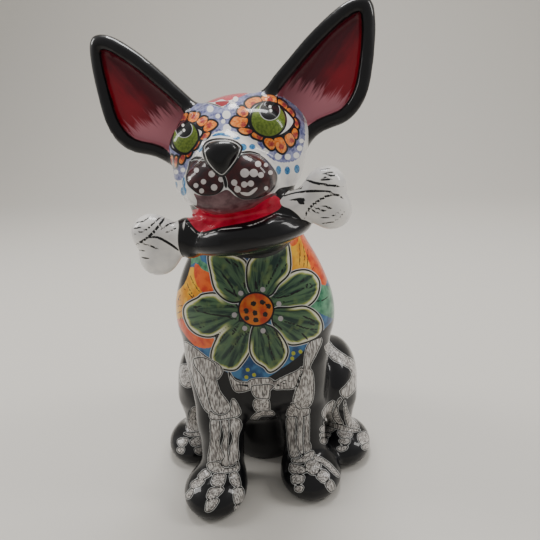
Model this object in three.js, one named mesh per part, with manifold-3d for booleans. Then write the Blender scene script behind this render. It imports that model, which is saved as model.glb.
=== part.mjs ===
// A seated chihuahua in painted and glazed pottery, with a bone across its open mouth.
// Millimetres, +Z up. The dog looks along -Y and +X lies on the viewer's right.
// The figure is a single casting: body, legs, tail, head, ears, jaw and bone are joined in the clay.
// It is described as rounded forms that melt into each other, and one skin is drawn over them.
import * as THREE from 'three';
import { mergeVertices } from 'three/addons/utils/BufferGeometryUtils.js';
import Module from 'manifold-3d';

// Fineness of the skin: the grid it is first drawn on, and the triangles it keeps.
const GRID = { low: [-110, -100, -26], high: [110, 100, 340], step: 3 };
const SKIN_TRIANGLES = 8600;

// The slab below the ground that cuts the feet and rump off flat.
const GROUND = { width: 400, depth: 40 };

// Middle of the figure's plan, which is set on the origin.
const PLAN_MIDDLE = [-7, -2.3];

// Trunk: places and radii of the rounded forms, and the softness of each join.
const TRUNK_X = -3;
const CHEST = { at: [-1, -14, 137], radii: [54.5, 41, 48] };
const NECK = { from: [-2, -6, 168], to: [-4, -18, 226], radii: [36, 30], blend: 22 };
const SHOULDER = { from: [24, -12, 120], to: [26, -20, 84], radii: [26, 19], blend: 18 };
const BRISKET = { at: [0, -20, 84], radii: [34, 26, 35], blend: 20 };
const BACK = { from: [0, 8, 140], to: [0, 38, 62], radii: [40, 46], blend: 16 };
const RUMP = { at: [0, 34, 38], radii: [50, 48, 44], blend: 12 };
const BELLY = { from: [0, 2, 90], to: [0, 14, 18], radii: [34, 32], blend: 14 };

// Legs. Each front paw stands at its own place, and the hind legs are alike.
const FRONT_PAWS = [[-34, -54], [34, -35]];
const FRONT_PAW = { radii: [22.5, 26, 15], height: 9, blend: 8 };
const SHOULDER_POINT = { spread: 31, y: -26, z: 104, radius: 19 };
const KNEE = { inset: 0.86, behind: 16, z: 56, radius: 16, blend: 6 };
const ANKLE = { inset: 0.88, behind: 12, z: 14, radius: 15 };
const LEG_BLEND = 7;
const HAUNCH = { at: [51, 14, 62], radii: [20, 34, 30], blend: 12 };
const SHIN = { from: [56, 0, 50], to: [57, 4, 22], radii: [12, 9], blend: 8 };
const HIND_PAW = { at: [60, 2, 9], radii: [21, 26, 14], blend: 7 };

// Tail, an arc round the rump: its reach from the rump's middle,
// and its angles, heights and radii from root to tip.
const TAIL = { reach: 41, angles: [100, 12], height: [16, 8], radii: [11, 6.5], steps: 10, blend: 6 };

// Head: its place, and how it turns, tilts and nods, in degrees. What follows is in the head's own frame.
const HEAD = { at: [-7, -28, 247], turn: -3, tilt: -9, nod: -4, blend: 5 };
const HEAD_BALL = { at: [0, 0, 5], radius: 115, margin: 20 };
const CRANIUM = { at: [0.5, 2, 0], radii: [42, 38, 29.5] };
const CHEEKS = { at: [-1.5, -8, -18], radii: [38, 32, 22], blend: 12 };
const BROW = { at: [19, -24, 4], radii: [15, 11, 13], blend: 8 };
const BRIDGE = { from: [0, -18, -6], to: [1, -43, -7], radii: [20, 12], blend: 8 };
const MUZZLE = { at: [0, -36, -19], radii: [26, 23, 17], blend: 7 };
const LIP_PAD = { at: [11.5, -47, -17.5], radii: [12.5, 10.5, 11.5], blend: 4 };
const NOSE_TOP = { at: [1.5, -54, -1], radii: [10, 7, 6], blend: 1.5 };
const NOSE_POINT = { at: [1, -56, -8], radii: [4.5, 5, 5], blend: 7 };
const PALATE = { at: [0, -18, -32], radii: [31, 25, 13], blend: 4 };
const THROAT = { from: [0, 4, -14], to: [0, 4, -48], radii: [27, 26], blend: 8 };
const JAW = { at: [0, -20, -50], radii: [39, 34, 11.5], blend: 4 };
const JAW_HOLLOW = { at: [1, -24, -36], radii: [33, 30, 9], blend: 4 };
const JAW_CORNER = { at: [-33, -32, -46], radii: [8, 13, 12], blend: 5 };
const TONGUE = { at: [1, -26, -46], radii: [32, 28, 9.5], blend: 2 };

// Bone across the mouth: a round shaft with two knobs at each end.
const BONE = { at: [-0.5, -30, -42], turn: 8, tilt: -4.5, half: 51, radius: 9.5, blend: 1.5 };
const KNOB = { beyond: 1, apart: 8.5, radii: [11, 10, 9.8], blend: 8 };

// Ears: an outline seen from the front, x outwards and z along the ear, 80 mm long when unscaled.
const EAR_OUTLINE = [
  [-19, 4], [-17, 30], [-12, 56], [-5, 74], [4, 80.5], [14, 72],
  [26, 52], [32.5, 35], [31.5, 20], [23, 7], [15, -8], [-8, -12],
];
const EAR_LENGTH = 80;
const EAR = { thickness: 13, rounding: 6, rim: 8, rimSoftness: 3, bow: 0.01, bowMiddle: 6, blend: 7 };
const EAR_BALL = { at: [6, 0, 34], radius: 60, margin: 12 };
const EARS = [
  { side: -1, base: [-30, 6, 8], tip: [-71, 2, 79], face: -4 },
  { side: 1, base: [31, 6, 9], tip: [86, 8, 67], face: 4 },
];

const GLAZED_BLACK = new THREE.MeshStandardMaterial({ color: 0x0b0b0d, roughness: 0.12, metalness: 0 });

// Small vector helpers on plain arrays.
const minus = (a, b) => [a[0] - b[0], a[1] - b[1], a[2] - b[2]];
const along = (a, b, t) => [a[0] + (b[0] - a[0]) * t, a[1] + (b[1] - a[1]) * t, a[2] + (b[2] - a[2]) * t];
const dot = (a, b) => a[0] * b[0] + a[1] * b[1] + a[2] * b[2];
const cross = (a, b) => [
  a[1] * b[2] - a[2] * b[1],
  a[2] * b[0] - a[0] * b[2],
  a[0] * b[1] - a[1] * b[0],
];
const clamp01 = (t) => Math.min(1, Math.max(0, t));

// Distance to a ball that holds a whole form. Past its margin it stands in for the form itself.
function toBall(p, { at, radius }) {
  return Math.hypot(...minus(p, at)) - radius;
}

// Joins two forms, or keeps what both share, with a soft fillet of the given width.
function melt(a, b, width) {
  const h = clamp01(0.5 + (0.5 * (b - a)) / width);
  return b + (a - b) * h - width * h * (1 - h);
}

function shared(a, b, width) {
  return -melt(-a, -b, width);
}

// Distance to an ellipsoid, negative inside it.
function ellipsoid(p, { at, radii }) {
  const q = minus(p, at);
  const unit = Math.hypot(q[0] / radii[0], q[1] / radii[1], q[2] / radii[2]) + 1e-6;
  const slope = Math.hypot(q[0] / radii[0] ** 2, q[1] / radii[1] ** 2, q[2] / radii[2] ** 2) + 1e-9;
  return (unit * (unit - 1)) / slope;
}

// Distance to the hull of two balls.
function roundCone(p, { from, to, radii }) {
  const q = minus(p, from);
  const axis = minus(to, from);
  const length = Math.hypot(...axis);
  const narrowing = radii[0] - radii[1];
  const s = dot(q, axis) / length;
  const out = Math.sqrt(Math.max(0, dot(q, q) - s * s));
  const t = clamp01((s - (out * narrowing) / Math.sqrt(length ** 2 - narrowing ** 2)) / length);
  return Math.hypot(...minus(q, axis.map((c) => c * t))) - (radii[0] - narrowing * t);
}

const mirrored = (p) => [Math.abs(p[0]), p[1], p[2]];

// A frame turned about Z, then tilted about Y, then nodded about X, as three axes.
function turnedFrame(turn, tilt, nod) {
  const angles = [nod, tilt, turn].map(THREE.MathUtils.degToRad);
  const matrix = new THREE.Matrix4().makeRotationFromEuler(new THREE.Euler(...angles, 'ZYX'));
  const axes = [new THREE.Vector3(), new THREE.Vector3(), new THREE.Vector3()];
  matrix.extractBasis(...axes);
  return axes.map((axis) => axis.toArray());
}

const inFrame = (p, origin, axes) => {
  const q = minus(p, origin);
  return axes.map((axis) => dot(q, axis));
};

// Ears.

// A closed smooth line through the outline's points.
function smoothOutline(points, steps) {
  const curve = new THREE.CatmullRomCurve3(
    points.map(([x, z]) => new THREE.Vector3(x, 0, z)), true, 'catmullrom', 0.5);
  return curve.getPoints(points.length * steps).slice(0, -1).map((v) => [v.x, v.z]);
}

const earLine = smoothOutline(EAR_OUTLINE, 4);

// Distance in the plane to a closed line, negative inside it.
function toLine(x, z, line) {
  let best = Infinity;
  let inside = false;
  for (let i = 0, j = line.length - 1; i < line.length; j = i++) {
    const [ax, az] = line[j];
    const [bx, bz] = line[i];
    const t = clamp01(((x - ax) * (bx - ax) + (z - az) * (bz - az)) / ((bx - ax) ** 2 + (bz - az) ** 2));
    best = Math.min(best, Math.hypot(x - ax - t * (bx - ax), z - az - t * (bz - az)));
    if (az > z !== bz > z && x < ax + ((z - az) / (bz - az)) * (bx - ax)) inside = !inside;
  }
  return inside ? -best : best;
}

// Each ear's own frame: z runs from its base to its tip, x outwards, y towards the back.
for (const ear of EARS) {
  const span = minus(ear.tip, ear.base);
  const length = Math.hypot(...span);
  const z = span.map((c) => c / length);
  const flat = [ear.side - z[0] * z[0] * ear.side, -z[1] * z[0] * ear.side, -z[2] * z[0] * ear.side];
  const x = flat.map((c) => c / Math.hypot(...flat));
  const side = cross(z, x);
  const y = side.map((c) => c * Math.sign(side[1]));
  const angle = THREE.MathUtils.degToRad(ear.face) * ear.side;
  const [c, s] = [Math.cos(angle), Math.sin(angle)];
  ear.axes = [x.map((v, i) => v * c + y[i] * s), y.map((v, i) => v * c - x[i] * s), z];
  ear.scale = length / EAR_LENGTH;
}

// A bowed leaf with a thick rounded edge and a hollow in its front.
function earForm(p, ear) {
  const [x, y, z] = inFrame(p, ear.base, ear.axes).map((c) => c / ear.scale);
  const away = toBall([x, y, z], EAR_BALL);
  if (away > EAR_BALL.margin) return away * ear.scale;
  const edge = toLine(x, z, earLine);
  const depth = y + EAR.bow * (x - EAR.bowMiddle) ** 2;
  const a = edge + EAR.rounding;
  const b = Math.abs(depth) - EAR.thickness / 2 + EAR.rounding;
  const leaf = Math.hypot(Math.max(a, 0), Math.max(b, 0)) + Math.min(Math.max(a, b), 0) - EAR.rounding;
  const hollow = shared(edge + EAR.rim, depth, EAR.rimSoftness);
  return shared(leaf, -hollow, EAR.rimSoftness) * ear.scale;
}

// Bone.

const boneAxes = turnedFrame(BONE.turn, BONE.tilt, 0);

function boneForm(p) {
  const q = inFrame(p, BONE.at, boneAxes);
  const shaft = roundCone(q, {
    from: [-BONE.half, 0, 0], to: [BONE.half, 0, 0], radii: [BONE.radius, BONE.radius],
  });
  const quarter = [Math.abs(q[0]), q[1], Math.abs(q[2])];
  const knob = ellipsoid(quarter, { at: [BONE.half + KNOB.beyond, 0, KNOB.apart], radii: KNOB.radii });
  return melt(shaft, knob, KNOB.blend);
}

// Head, with its jaw, ears and the bone.

const headAxes = turnedFrame(HEAD.turn, HEAD.tilt, HEAD.nod);

function noseForm(q) {
  return melt(ellipsoid(q, NOSE_TOP), ellipsoid(q, NOSE_POINT), NOSE_POINT.blend);
}

function skullForm(q) {
  let d = melt(ellipsoid(q, CRANIUM), ellipsoid(q, CHEEKS), CHEEKS.blend);
  d = melt(d, ellipsoid(mirrored(q), BROW), BROW.blend);
  d = melt(d, roundCone(q, BRIDGE), BRIDGE.blend);
  d = melt(d, ellipsoid(q, MUZZLE), MUZZLE.blend);
  d = melt(d, ellipsoid(mirrored(q), LIP_PAD), LIP_PAD.blend);
  d = melt(d, noseForm(q), NOSE_TOP.blend);
  d = melt(d, ellipsoid(q, PALATE), PALATE.blend);
  return melt(d, Math.min(...EARS.map((ear) => earForm(q, ear))), EAR.blend);
}

function jawForm(q) {
  let d = shared(ellipsoid(q, JAW), -ellipsoid(q, JAW_HOLLOW), JAW_HOLLOW.blend);
  d = melt(d, ellipsoid(q, JAW_CORNER), JAW_CORNER.blend);
  d = melt(d, ellipsoid(q, TONGUE), TONGUE.blend);
  return melt(d, roundCone(q, THROAT), THROAT.blend);
}

function headForm(p) {
  const q = inFrame(p, HEAD.at, headAxes);
  const away = toBall(q, HEAD_BALL);
  if (away > HEAD_BALL.margin) return away;
  const head = melt(skullForm(q), jawForm(q), JAW.blend);
  return melt(head, boneForm(q), BONE.blend);
}

// Trunk, haunches and tail.

function trunkForm(p) {
  const q = [p[0] - TRUNK_X, p[1], p[2]];
  let d = melt(ellipsoid(q, CHEST), roundCone(q, NECK), NECK.blend);
  d = melt(d, roundCone(mirrored(q), SHOULDER), SHOULDER.blend);
  d = melt(d, ellipsoid(q, BRISKET), BRISKET.blend);
  d = melt(d, roundCone(q, BACK), BACK.blend);
  d = melt(d, ellipsoid(q, RUMP), RUMP.blend);
  d = melt(d, roundCone(q, BELLY), BELLY.blend);
  d = melt(d, ellipsoid(mirrored(p), HAUNCH), HAUNCH.blend);
  d = melt(d, roundCone(mirrored(p), SHIN), SHIN.blend);
  return melt(d, tailForm(p), TAIL.blend);
}

// A chain of short tapering lengths set out on an arc.
function tailForm(p) {
  const at = (pair, t) => pair[0] + (pair[1] - pair[0]) * t;
  const knot = (t) => {
    const angle = THREE.MathUtils.degToRad(at(TAIL.angles, t));
    const [across, back] = [TAIL.reach * Math.cos(angle), TAIL.reach * Math.sin(angle)];
    return [TRUNK_X + across, RUMP.at[1] + back, at(TAIL.height, t)];
  };
  let d = Infinity;
  for (let i = 0; i < TAIL.steps; i++) {
    const [s, t] = [i / TAIL.steps, (i + 1) / TAIL.steps];
    const link = { from: knot(s), to: knot(t), radii: [at(TAIL.radii, s), at(TAIL.radii, t)] };
    d = Math.min(d, roundCone(p, link));
  }
  return d;
}

// Legs.

function frontLegForm(p, [x, y]) {
  const side = Math.sign(x);
  const shoulder = [side * SHOULDER_POINT.spread + TRUNK_X, SHOULDER_POINT.y, SHOULDER_POINT.z];
  const knee = [x * KNEE.inset, y + KNEE.behind, KNEE.z];
  const ankle = [x * ANKLE.inset, y + ANKLE.behind, ANKLE.z];
  const upper = roundCone(p, { from: shoulder, to: knee, radii: [SHOULDER_POINT.radius, KNEE.radius] });
  const lower = roundCone(p, { from: knee, to: ankle, radii: [KNEE.radius, ANKLE.radius] });
  const paw = ellipsoid(p, { at: [x, y, FRONT_PAW.height], radii: FRONT_PAW.radii });
  return melt(melt(upper, lower, KNEE.blend), paw, FRONT_PAW.blend);
}

// The whole figure: negative inside the clay, positive outside.
function figure(p) {
  let d = trunkForm(p);
  for (const paw of FRONT_PAWS) d = melt(d, frontLegForm(p, paw), LEG_BLEND);
  d = melt(d, ellipsoid(mirrored(p), HIND_PAW), HIND_PAW.blend);
  return melt(d, headForm(p), HEAD.blend);
}

// The skin, first as a net of squares with one point in each grid cell that the surface crosses.

// Where inner corners of a grid square meet only across its diagonal, the shallower outer corner is filled,
// so that the skin never touches itself along a line. It then lies just inside, at a tenth of its depth.
const FILLED_DEPTH = 0.1;

function fillDiagonals(values, count, stride) {
  const squares = [[stride[0], stride[1]], [stride[1], stride[2]], [stride[2], stride[0]]];
  const last = values.length - stride[1] - stride[2];
  for (let changed = true; changed;) {
    changed = false;
    for (let n = 0; n < last; n++) {
      for (const [u, v] of squares) {
        const inside = values[n] < 0;
        if (values[n + u + v] < 0 !== inside) continue;
        if (values[n + u] < 0 === inside || values[n + v] < 0 === inside) continue;
        const outer = inside ? [n + u, n + v] : [n, n + u + v];
        const filled = values[outer[0]] < values[outer[1]] ? outer[0] : outer[1];
        values[filled] *= -FILLED_DEPTH;
        changed = true;
      }
    }
  }
}

function netOver(field, { low, high, step }) {
  const count = low.map((c, i) => Math.ceil((high[i] - c) / step) + 1);
  const stride = [1, count[0], count[0] * count[1]];
  const values = new Float64Array(count[0] * count[1] * count[2]);
  for (let k = 0, n = 0; k < count[2]; k++) {
    for (let j = 0; j < count[1]; j++) {
      for (let i = 0; i < count[0]; i++) {
        values[n++] = field([low[0] + i * step, low[1] + j * step, low[2] + k * step]);
      }
    }
  }
  fillDiagonals(values, count, stride);
  const corners = [0, 1, 2, 3, 4, 5, 6, 7].map((c) => [c & 1, (c >> 1) & 1, c >> 2]);
  const edges = [];
  corners.forEach((a, i) => corners.forEach((b, j) => {
    if (i < j && a.filter((c, n) => c !== b[n]).length === 1) edges.push([i, j]);
  }));
  const points = [];
  const pointOf = new Int32Array(values.length).fill(-1);
  const faces = [];
  for (let k = 0; k < count[2] - 1; k++) {
    for (let j = 0; j < count[1] - 1; j++) {
      for (let i = 0; i < count[0] - 1; i++) {
        const n = i + j * stride[1] + k * stride[2];
        const at = corners.map((c) => values[n + c[0] + c[1] * stride[1] + c[2] * stride[2]]);
        const crossings = edges.filter(([a, b]) => at[a] < 0 !== at[b] < 0);
        if (crossings.length === 0) continue;
        const sum = [0, 0, 0];
        for (const [a, b] of crossings) {
          const spot = along(corners[a], corners[b], at[a] / (at[a] - at[b]));
          spot.forEach((c, axis) => { sum[axis] += c / crossings.length; });
        }
        pointOf[n] = points.length;
        points.push([i, j, k].map((c, axis) => low[axis] + (c + sum[axis]) * step));
        for (let axis = 0; axis < 3; axis++) {
          const [u, v] = [stride[(axis + 1) % 3], stride[(axis + 2) % 3]];
          if ([i, j, k][(axis + 1) % 3] === 0 || [i, j, k][(axis + 2) % 3] === 0) continue;
          const inside = values[n] < 0;
          if (inside === values[n + stride[axis]] < 0) continue;
          const square = [n, n - u, n - u - v, n - v].map((m) => pointOf[m]);
          if (!inside) square.reverse();
          faces.push([square[0], square[1], square[2]], [square[0], square[2], square[3]]);
        }
      }
    }
  }
  return { points, faces };
}

// Slides each point of the net along the field's slope onto the surface itself.
const SETTLE = { rounds: 3, nudge: 0.05, leastSlope: 0.2, longestMove: 1 };

function settle(points, field) {
  const { rounds, nudge, leastSlope, longestMove } = SETTLE;
  for (const p of points) {
    for (let round = 0; round < rounds; round++) {
      const slope = [0, 1, 2].map((axis) => {
        const [a, b] = [[...p], [...p]];
        a[axis] -= nudge;
        b[axis] += nudge;
        return (field(b) - field(a)) / (2 * nudge);
      });
      const way = field(p) / Math.max(dot(slope, slope), leastSlope);
      const move = THREE.MathUtils.clamp(way, -longestMove, longestMove);
      slope.forEach((c, axis) => { p[axis] -= c * move; });
    }
  }
}

// Thins the net: the edge whose loss bends the surface least is drawn together first. Long edges cost a
// little more, and no face may turn by more than the least cosine or shrink below the least size.
const THIN = { lengthCost: 1e-4, leastCosine: 0.3, leastFace: 0.02 };

class Heap {
  items = [];

  push(item) {
    const { items } = this;
    let i = items.push(item) - 1;
    while (i > 0) {
      const up = (i - 1) >> 1;
      if (items[up].cost <= item.cost) break;
      items[i] = items[up];
      i = up;
    }
    items[i] = item;
  }

  pop() {
    const { items } = this;
    const top = items[0];
    const last = items.pop();
    if (items.length === 0) return top;
    let i = 0;
    for (;;) {
      let down = 2 * i + 1;
      if (down >= items.length) break;
      if (down + 1 < items.length && items[down + 1].cost < items[down].cost) down++;
      if (items[down].cost >= last.cost) break;
      items[i] = items[down];
      i = down;
    }
    items[i] = last;
    return top;
  }
}

const faceNormal = (a, b, c) => cross(minus(b, a), minus(c, a));

// A quadric is the sum of squared distances to the planes around a point, as ten numbers.
function planeQuadric(a, b, c) {
  const n = faceNormal(a, b, c);
  const area = Math.hypot(...n) || 1e-12;
  const [x, y, z] = n.map((v) => v / area);
  const w = -(x * a[0] + y * a[1] + z * a[2]);
  return [x * x, x * y, x * z, x * w, y * y, y * z, y * w, z * z, z * w, w * w].map((v) => v * area);
}

function quadricCost(q, [x, y, z]) {
  return q[0] * x * x + 2 * q[1] * x * y + 2 * q[2] * x * z + 2 * q[3] * x
    + q[4] * y * y + 2 * q[5] * y * z + 2 * q[6] * y + q[7] * z * z + 2 * q[8] * z + q[9];
}

function thin(points, faces, target) {
  const quadrics = points.map(() => new Array(10).fill(0));
  const around = points.map(() => new Set());
  const stamp = new Int32Array(points.length);
  const alive = faces.map(() => true);
  let left = faces.length;
  faces.forEach((face, f) => {
    const q = planeQuadric(...face.map((v) => points[v]));
    for (const v of face) {
      around[v].add(f);
      q.forEach((value, i) => { quadrics[v][i] += value; });
    }
  });
  const neighbours = (v) => {
    const found = new Set();
    for (const f of around[v]) faces[f].forEach((u) => found.add(u));
    found.delete(v);
    return found;
  };
  const heap = new Heap();
  const offer = (a, b) => {
    const q = quadrics[a].map((value, i) => value + quadrics[b][i]);
    const spots = [0, 0.25, 0.5, 0.75, 1].map((t) => along(points[a], points[b], t));
    const costs = spots.map((spot) => quadricCost(q, spot));
    const best = costs.indexOf(Math.min(...costs));
    const length = Math.hypot(...minus(points[a], points[b]));
    const cost = costs[best] + THIN.lengthCost * length ** 2;
    heap.push({ a, b, cost, spot: spots[best], q, stamps: [stamp[a], stamp[b]] });
  };
  points.forEach((_, a) => neighbours(a).forEach((b) => { if (a < b) offer(a, b); }));
  const turnsOver = (v, other, spot) => [...around[v]].some((f) => {
    if (faces[f].includes(other)) return false;
    const before = faceNormal(...faces[f].map((u) => points[u]));
    const after = faceNormal(...faces[f].map((u) => (u === v ? spot : points[u])));
    const size = Math.hypot(...after);
    return size < THIN.leastFace || dot(before, after) < THIN.leastCosine * Math.hypot(...before) * size;
  });
  while (left > target && heap.items.length > 0) {
    const { a, b, spot, q, stamps } = heap.pop();
    if (stamps[0] !== stamp[a] || stamps[1] !== stamp[b]) continue;
    const near = neighbours(b);
    if ([...neighbours(a)].filter((v) => near.has(v)).length !== 2) continue;
    if (turnsOver(a, b, spot) || turnsOver(b, a, spot)) continue;
    for (const f of around[b]) {
      if (faces[f].includes(a)) {
        alive[f] = false;
        left--;
        faces[f].forEach((v) => { if (v !== b) around[v].delete(f); });
      } else {
        faces[f] = faces[f].map((v) => (v === b ? a : v));
        around[a].add(f);
      }
    }
    around[b].clear();
    stamp[b] = -1;
    stamp[a]++;
    points[a] = spot;
    quadrics[a] = q;
    for (const v of neighbours(a)) offer(a, v);
  }
  return faces.filter((_, f) => alive[f]);
}

// Makes the thinned net a solid and cuts it off flat at the ground.

const wasm = await Module();
wasm.setup();

function solidOf(geometry) {
  const bare = geometry.clone();
  bare.deleteAttribute('normal');
  bare.deleteAttribute('uv');
  const merged = mergeVertices(bare, 1e-4);
  return new wasm.Manifold(new wasm.Mesh({
    numProp: 3,
    vertProperties: new Float32Array(merged.attributes.position.array),
    triVerts: new Uint32Array(merged.index.array),
  }));
}

function geometryOf(solid) {
  const { vertProperties, triVerts } = solid.getMesh();
  const geometry = new THREE.BufferGeometry();
  geometry.setAttribute('position', new THREE.BufferAttribute(vertProperties, 3));
  geometry.setIndex(new THREE.BufferAttribute(triVerts, 1));
  geometry.computeVertexNormals();
  return geometry;
}

function chihuahua() {
  const { points, faces } = netOver(figure, GRID);
  settle(points, figure);
  const kept = thin(points, faces, SKIN_TRIANGLES);
  const skin = new THREE.BufferGeometry();
  skin.setAttribute('position', new THREE.BufferAttribute(new Float32Array(points.flat()), 3));
  skin.setIndex(kept.flat());
  const ground = new THREE.BoxGeometry(GROUND.width, GROUND.width, GROUND.depth);
  ground.translate(0, 0, -GROUND.depth / 2);
  const figureSolid = solidOf(skin).subtract(solidOf(ground));
  const mesh = new THREE.Mesh(geometryOf(figureSolid), GLAZED_BLACK);
  mesh.name = 'talavera_chihuahua';
  mesh.position.set(-PLAN_MIDDLE[0], -PLAN_MIDDLE[1], 0);
  return mesh;
}

const figurine = new THREE.Group();
figurine.add(chihuahua());

export default figurine;
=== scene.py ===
import math

import bmesh
import bpy
import numpy as np
from mathutils import Euler, Matrix, Vector


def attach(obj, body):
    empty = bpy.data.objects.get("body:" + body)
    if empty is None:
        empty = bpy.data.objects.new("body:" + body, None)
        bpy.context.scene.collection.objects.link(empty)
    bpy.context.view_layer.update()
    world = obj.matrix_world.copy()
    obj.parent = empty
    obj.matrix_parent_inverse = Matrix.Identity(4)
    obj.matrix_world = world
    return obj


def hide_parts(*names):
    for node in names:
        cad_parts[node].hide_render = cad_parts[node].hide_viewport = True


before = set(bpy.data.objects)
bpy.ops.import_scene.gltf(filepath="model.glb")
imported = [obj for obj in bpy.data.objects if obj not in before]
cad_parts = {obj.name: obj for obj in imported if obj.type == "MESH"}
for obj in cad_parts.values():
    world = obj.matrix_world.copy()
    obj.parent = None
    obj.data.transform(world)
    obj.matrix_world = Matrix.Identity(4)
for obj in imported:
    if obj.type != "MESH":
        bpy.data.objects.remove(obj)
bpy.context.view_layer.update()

NODE = "talavera_chihuahua"
MM = 0.001

# Middle of the figure's plan, which is set on the origin.
PLAN_MIDDLE = (-7, -2.3)

# Trunk: places and radii of the rounded forms, and the softness of each join.
TRUNK_X = -3
CHEST = dict(at=(-1, -14, 137), radii=(54.5, 41, 48))
NECK = dict(start=(-2, -6, 168), end=(-4, -18, 226), radii=(36, 30), blend=22)
SHOULDER = dict(start=(24, -12, 120), end=(26, -20, 84), radii=(26, 19), blend=18)
BRISKET = dict(at=(0, -20, 84), radii=(34, 26, 35), blend=20)
BACK = dict(start=(0, 8, 140), end=(0, 38, 62), radii=(40, 46), blend=16)
RUMP = dict(at=(0, 34, 38), radii=(50, 48, 44), blend=12)
BELLY = dict(start=(0, 2, 90), end=(0, 14, 18), radii=(34, 32), blend=14)

# Legs. Each front paw stands at its own place, and the hind legs are alike.
FRONT_PAWS = ((-34, -54), (34, -35))
FRONT_PAW = dict(radii=(22.5, 26, 15), height=9, blend=8)
SHOULDER_POINT = dict(spread=31, y=-26, z=104, radius=19)
KNEE = dict(inset=0.86, behind=16, z=56, radius=16, blend=6)
ANKLE = dict(inset=0.88, behind=12, z=14, radius=15)
LEG_BLEND = 7
HAUNCH = dict(at=(51, 14, 62), radii=(20, 34, 30), blend=12)
SHIN = dict(start=(56, 0, 50), end=(57, 4, 22), radii=(12, 9), blend=8)
HIND_PAW = dict(at=(60, 2, 9), radii=(21, 26, 14), blend=7)

# Tail, an arc round the rump: its reach from the rump's middle,
# and its angles, heights and radii from root to tip.
TAIL = dict(reach=41, angles=(100, 12), height=(16, 8), radii=(11, 6.5), steps=10, blend=6)

# Head: its place, and how it turns, tilts and nods, in degrees. What follows is in its own frame.
HEAD = dict(at=(-7, -28, 247), turn=-3, tilt=-9, nod=-4, blend=5)
HEAD_BALL = dict(at=(0, 0, 5), radius=115, margin=20)
CRANIUM = dict(at=(0.5, 2, 0), radii=(42, 38, 29.5))
CHEEKS = dict(at=(-1.5, -8, -18), radii=(38, 32, 22), blend=12)
BROW = dict(at=(19, -24, 4), radii=(15, 11, 13), blend=8)
BRIDGE = dict(start=(0, -18, -6), end=(1, -43, -7), radii=(20, 12), blend=8)
MUZZLE = dict(at=(0, -36, -19), radii=(26, 23, 17), blend=7)
LIP_PAD = dict(at=(11.5, -47, -17.5), radii=(12.5, 10.5, 11.5), blend=4)
NOSE_TOP = dict(at=(1.5, -54, -1), radii=(10, 7, 6), blend=1.5)
NOSE_POINT = dict(at=(1, -56, -8), radii=(4.5, 5, 5), blend=7)
PALATE = dict(at=(0, -18, -32), radii=(31, 25, 13), blend=4)
THROAT = dict(start=(0, 4, -14), end=(0, 4, -48), radii=(27, 26), blend=8)
JAW = dict(at=(0, -20, -50), radii=(39, 34, 11.5), blend=4)
JAW_HOLLOW = dict(at=(1, -24, -36), radii=(33, 30, 9), blend=4)
JAW_CORNER = dict(at=(-33, -32, -46), radii=(8, 13, 12), blend=5)
TONGUE = dict(at=(1, -26, -46), radii=(32, 28, 9.5), blend=2)

# Bone across the mouth: a round shaft with two knobs at each end.
BONE = dict(at=(-0.5, -30, -42), turn=8, tilt=-4.5, half=51, radius=9.5, blend=1.5)
KNOB = dict(beyond=1, apart=8.5, radii=(11, 10, 9.8), blend=8)

# Ears: an outline seen from the front, x outwards and z along the ear, 80 mm long when unscaled.
EAR_OUTLINE = (
    (-19, 4), (-17, 30), (-12, 56), (-5, 74), (4, 80.5), (14, 72),
    (26, 52), (32.5, 35), (31.5, 20), (23, 7), (15, -8), (-8, -12),
)
EAR_LENGTH = 80
EAR = dict(thickness=13, rounding=6, rim=8, rim_softness=3, bow=0.01, bow_middle=6, blend=7)
EAR_BALL = dict(at=(6, 0, 34), radius=60, margin=12)
EARS = (
    dict(side=-1, base=(-30, 6, 8), tip=(-71, 2, 79), face=-4),
    dict(side=1, base=(31, 6, 9), tip=(86, 8, 67), face=4),
)

# Skin: the space it is drawn in, the size of its mesh, and how points settle on the form.
SPACE = dict(low=(-110, -100, -26), high=(110, 100, 340))
MESH_STEP = 2.7
COARSE = 4
SETTLE = dict(rounds=3, nudge=0.05, least_slope=0.2, longest_move=1)

# Camera: where it stands and how it looks, in the potter's frame, and its focal length in pixels.
PICTURE = 540
CAMERA = dict(focal=530, turn=5, down=20, roll=2.5, back=357, right=7, height=285)
SIGHT = dict(start=200, steps=110, share=0.85)


# Form: a distance for each row of points, negative inside the clay.

def melt(a, b, width):
    """Joins two forms with a soft fillet of the given width."""
    h = np.clip(0.5 + 0.5 * (b - a) / width, 0, 1)
    return b + (a - b) * h - width * h * (1 - h)


def shared(a, b, width):
    """Keeps what two forms share."""
    return -melt(-a, -b, width)


def length(v):
    return np.sqrt((v * v).sum(-1))


def ellipsoid(p, at, radii, **_):
    q = p - np.float32(at)
    radii = np.float32(radii)
    unit = length(q / radii) + 1e-6
    return unit * (unit - 1) / (length(q / radii ** 2) + 1e-9)


def round_cone(p, start, end, radii, **_):
    """The hull of two balls."""
    q = p - np.float32(start)
    axis = np.float32(end) - np.float32(start)
    size = float(np.linalg.norm(axis))
    narrowing = radii[0] - radii[1]
    s = q @ (axis / size)
    out = np.sqrt(np.maximum((q * q).sum(-1) - s * s, 0))
    t = np.clip((s - out * narrowing / math.sqrt(size ** 2 - narrowing ** 2)) / size, 0, 1)
    return length(q - t[..., None] * axis) - (radii[0] - narrowing * t)


def ball(p, at, radius, **_):
    return length(p - np.float32(at)) - radius


def mirrored(p):
    return p * np.float32((0, 1, 1)) + np.abs(p) * np.float32((1, 0, 0))


def turned_frame(turn, tilt, nod):
    """Axes, as columns, of a frame turned about Z, then tilted about Y, then nodded about X."""
    angles = [math.radians(angle) for angle in (nod, tilt, turn)]
    return np.float32(Euler(angles, "XYZ").to_matrix())


def in_frame(p, origin, axes):
    return (p - np.float32(origin)) @ axes


def added(d, form, p, piece):
    return melt(d, form(p, **piece), piece["blend"])


# Ears.

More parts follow.
